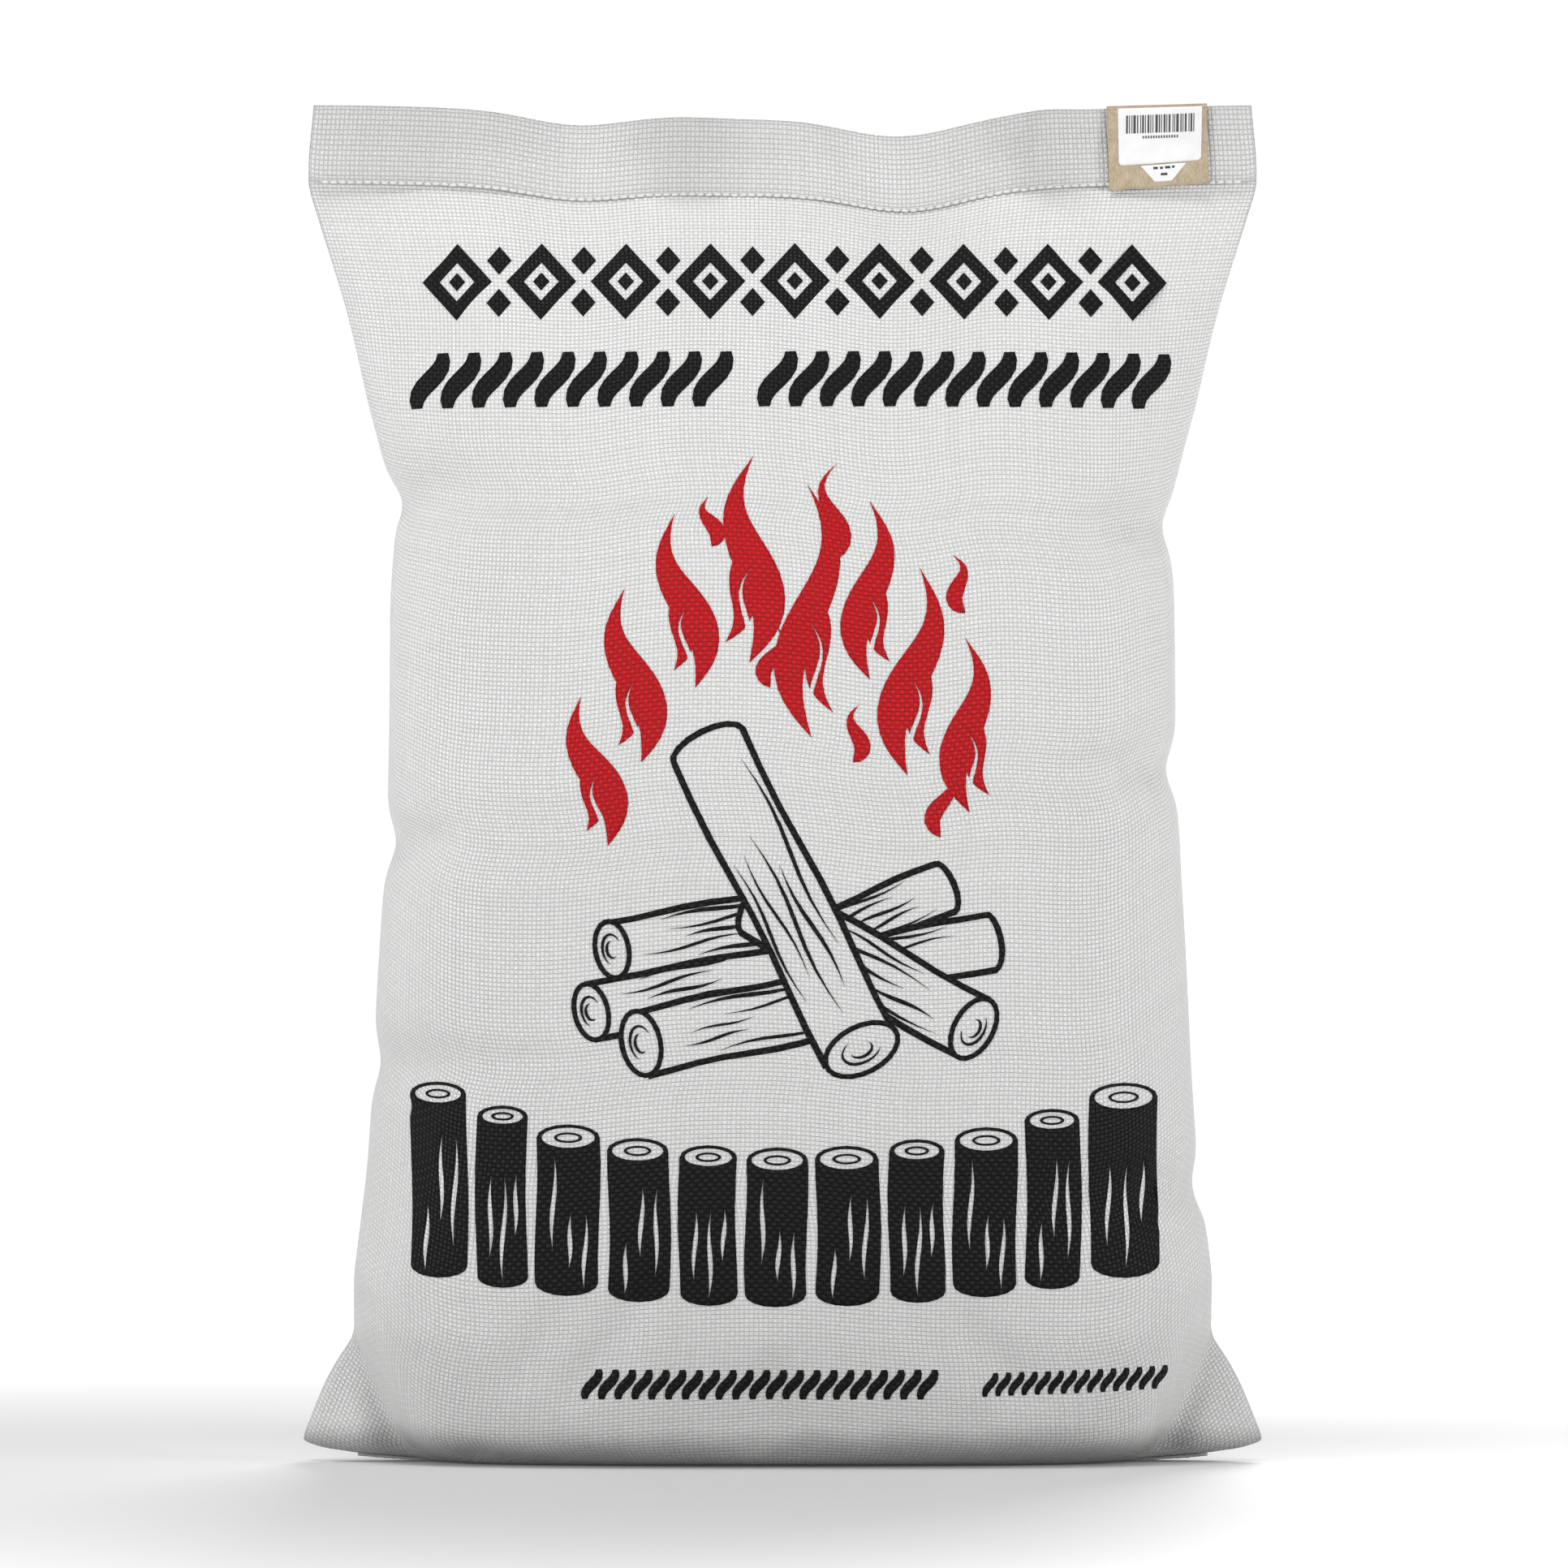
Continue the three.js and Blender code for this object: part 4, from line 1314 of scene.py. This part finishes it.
def bars():
    """A generic row of bars with small ticks under it, and a few ticks on the lower label."""
    bm = bmesh.new()
    x, k = BARS_LEFT, 0
    while x < BARS_RIGHT:
        wide = BAR_WIDTHS[k % len(BAR_WIDTHS)]
        add_bar(bm, x, wide, BAR_LOW, BAR_HIGH)
        x += wide + BAR_GAPS[k % len(BAR_GAPS)]
        k += 1
    for k in range(TICKS):
        add_bar(bm, TICKS_LEFT + TICK_PITCH * k, TICK_WIDTH, TICK_LOW, TICK_HIGH)
    for x, z, wide in KEY_TICKS:
        add_bar(bm, x, wide, z, z + KEY_TICK_HEIGHT)
    mesh = bpy.data.meshes.new("label_bars")
    bm.to_mesh(mesh)
    bm.free()
    piece = bpy.data.objects.new("label_bars", mesh)
    bpy.context.collection.objects.link(piece)
    return piece


label_bars = bars()
thicken(label_bars, 0.04 * MM)
print("bars and ticks", len(label_bars.data.polygons) // 4)

# %% [markdown]
# ## Card, paper and thread
# Card is pressed from fibres, so it has flecks in two tones and a faint grain along the sheet. Label
# paper is smooth and coated. The thread is spun, so a fine twist runs round it.

# %% Their materials
def card_material():
    nodes = Nodes("brown_card")
    place = nodes.add("ShaderNodeTexCoord").outputs["Object"]
    long = nodes.add("ShaderNodeMapping", {"Vector": place, "Scale": (2600, 2600, 420)}).outputs[0]
    fleck = nodes.noise(long, 1.0, 3, 0.6)
    cloud = nodes.noise(place, 160.0, 3, 0.5)
    base = nodes.mix(nodes.ramp(fleck, 0.38, 0.66, 0, 1), (0.31, 0.24, 0.155, 1), (0.43, 0.36, 0.26, 1))
    shade = nodes.mix(nodes.ramp(cloud, 0.35, 0.7, 0, 0.4), base, (0.47, 0.405, 0.30, 1))
    return nodes.finish(shade, 0.82, nodes.bump(fleck, 0.00012, 0.6), Specular_IOR_Level=0.25)


def paper_material():
    nodes = Nodes("label_paper")
    place = nodes.add("ShaderNodeTexCoord").outputs["Object"]
    grain = nodes.noise(place, 2400.0, 2, 0.5)
    cloud = nodes.noise(place, 120.0, 3, 0.5)
    shade = nodes.mix(nodes.ramp(cloud, 0.3, 0.7, 0, 1), (0.665, 0.665, 0.665, 1), (0.71, 0.71, 0.71, 1))
    return nodes.finish(shade, nodes.ramp(grain, 0.3, 0.7, 0.34, 0.44), nodes.bump(grain, 0.00002, 0.4))


def bar_ink_material():
    nodes = Nodes("bar_ink")
    place = nodes.add("ShaderNodeTexCoord").outputs["Object"]
    grain = nodes.noise(place, 3000.0, 2, 0.6)
    shade = nodes.mix(nodes.ramp(grain, 0.35, 0.75, 0, 1), (0.02, 0.02, 0.022, 1), (0.07, 0.07, 0.07, 1))
    return nodes.finish(shade, 0.5, nodes.bump(grain, 0.00002, 0.3))


def thread_material():
    nodes = Nodes("spun_thread")
    place = nodes.add("ShaderNodeTexCoord").outputs["Object"]
    turned = nodes.add("ShaderNodeMapping", {"Vector": place, "Rotation": (0, 0.6, 0)}).outputs[0]
    twist = nodes.add("ShaderNodeTexWave", {"Vector": turned, "Scale": 900.0, "Distortion": 1.2,
                                            "Detail": 2.0}).outputs["Fac"]
    shade = nodes.mix(twist, (0.58, 0.575, 0.56, 1), (0.73, 0.725, 0.71, 1))
    return nodes.finish(shade, 0.75, nodes.bump(twist, 0.0001, 0.6), Specular_IOR_Level=0.3)


# %% Put them on
finishes = [(thread_material(), (top_stitches, top_chain, foot_stitches, foot_chain)),
            (card_material(), (card_tag,)), (paper_material(), (bar_label, key_label)),
            (bar_ink_material(), (label_bars,))]
for finish, pieces in finishes:
    for piece in pieces:
        piece.data.materials.append(finish)
    print(finish.name, "on", [piece.name for piece in pieces])

# %% [markdown]
# ## Attaching the pieces
# Every piece rides on the one body, and the ones that stand for a CAD solid take its place. The sack's
# cloth gives over the load inside it.

# %% Ride and replace
DECLARED = [(sack, "sack_cloth", "sack_body"), (print_black, "sack_cloth", None),
            (print_red, "sack_cloth", None), (foot_fold, "sack_cloth", None),
            (top_stitches, "closing_thread", "top_needle_thread"),
            (top_chain, "closing_thread", "top_looper_thread"),
            (foot_stitches, "closing_thread", "foot_needle_thread"),
            (foot_chain, "closing_thread", "foot_looper_thread"), (card_tag, "kraft_card", "kraft_tag"),
            (bar_label, "label_paper", "barcode_label"), (key_label, "label_paper", "keystone_label"),
            (label_bars, "label_paper", None)]
for piece, finish, node in DECLARED:
    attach(piece, "root")
    if node:
        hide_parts(node)
print(len(DECLARED), "pieces declared")
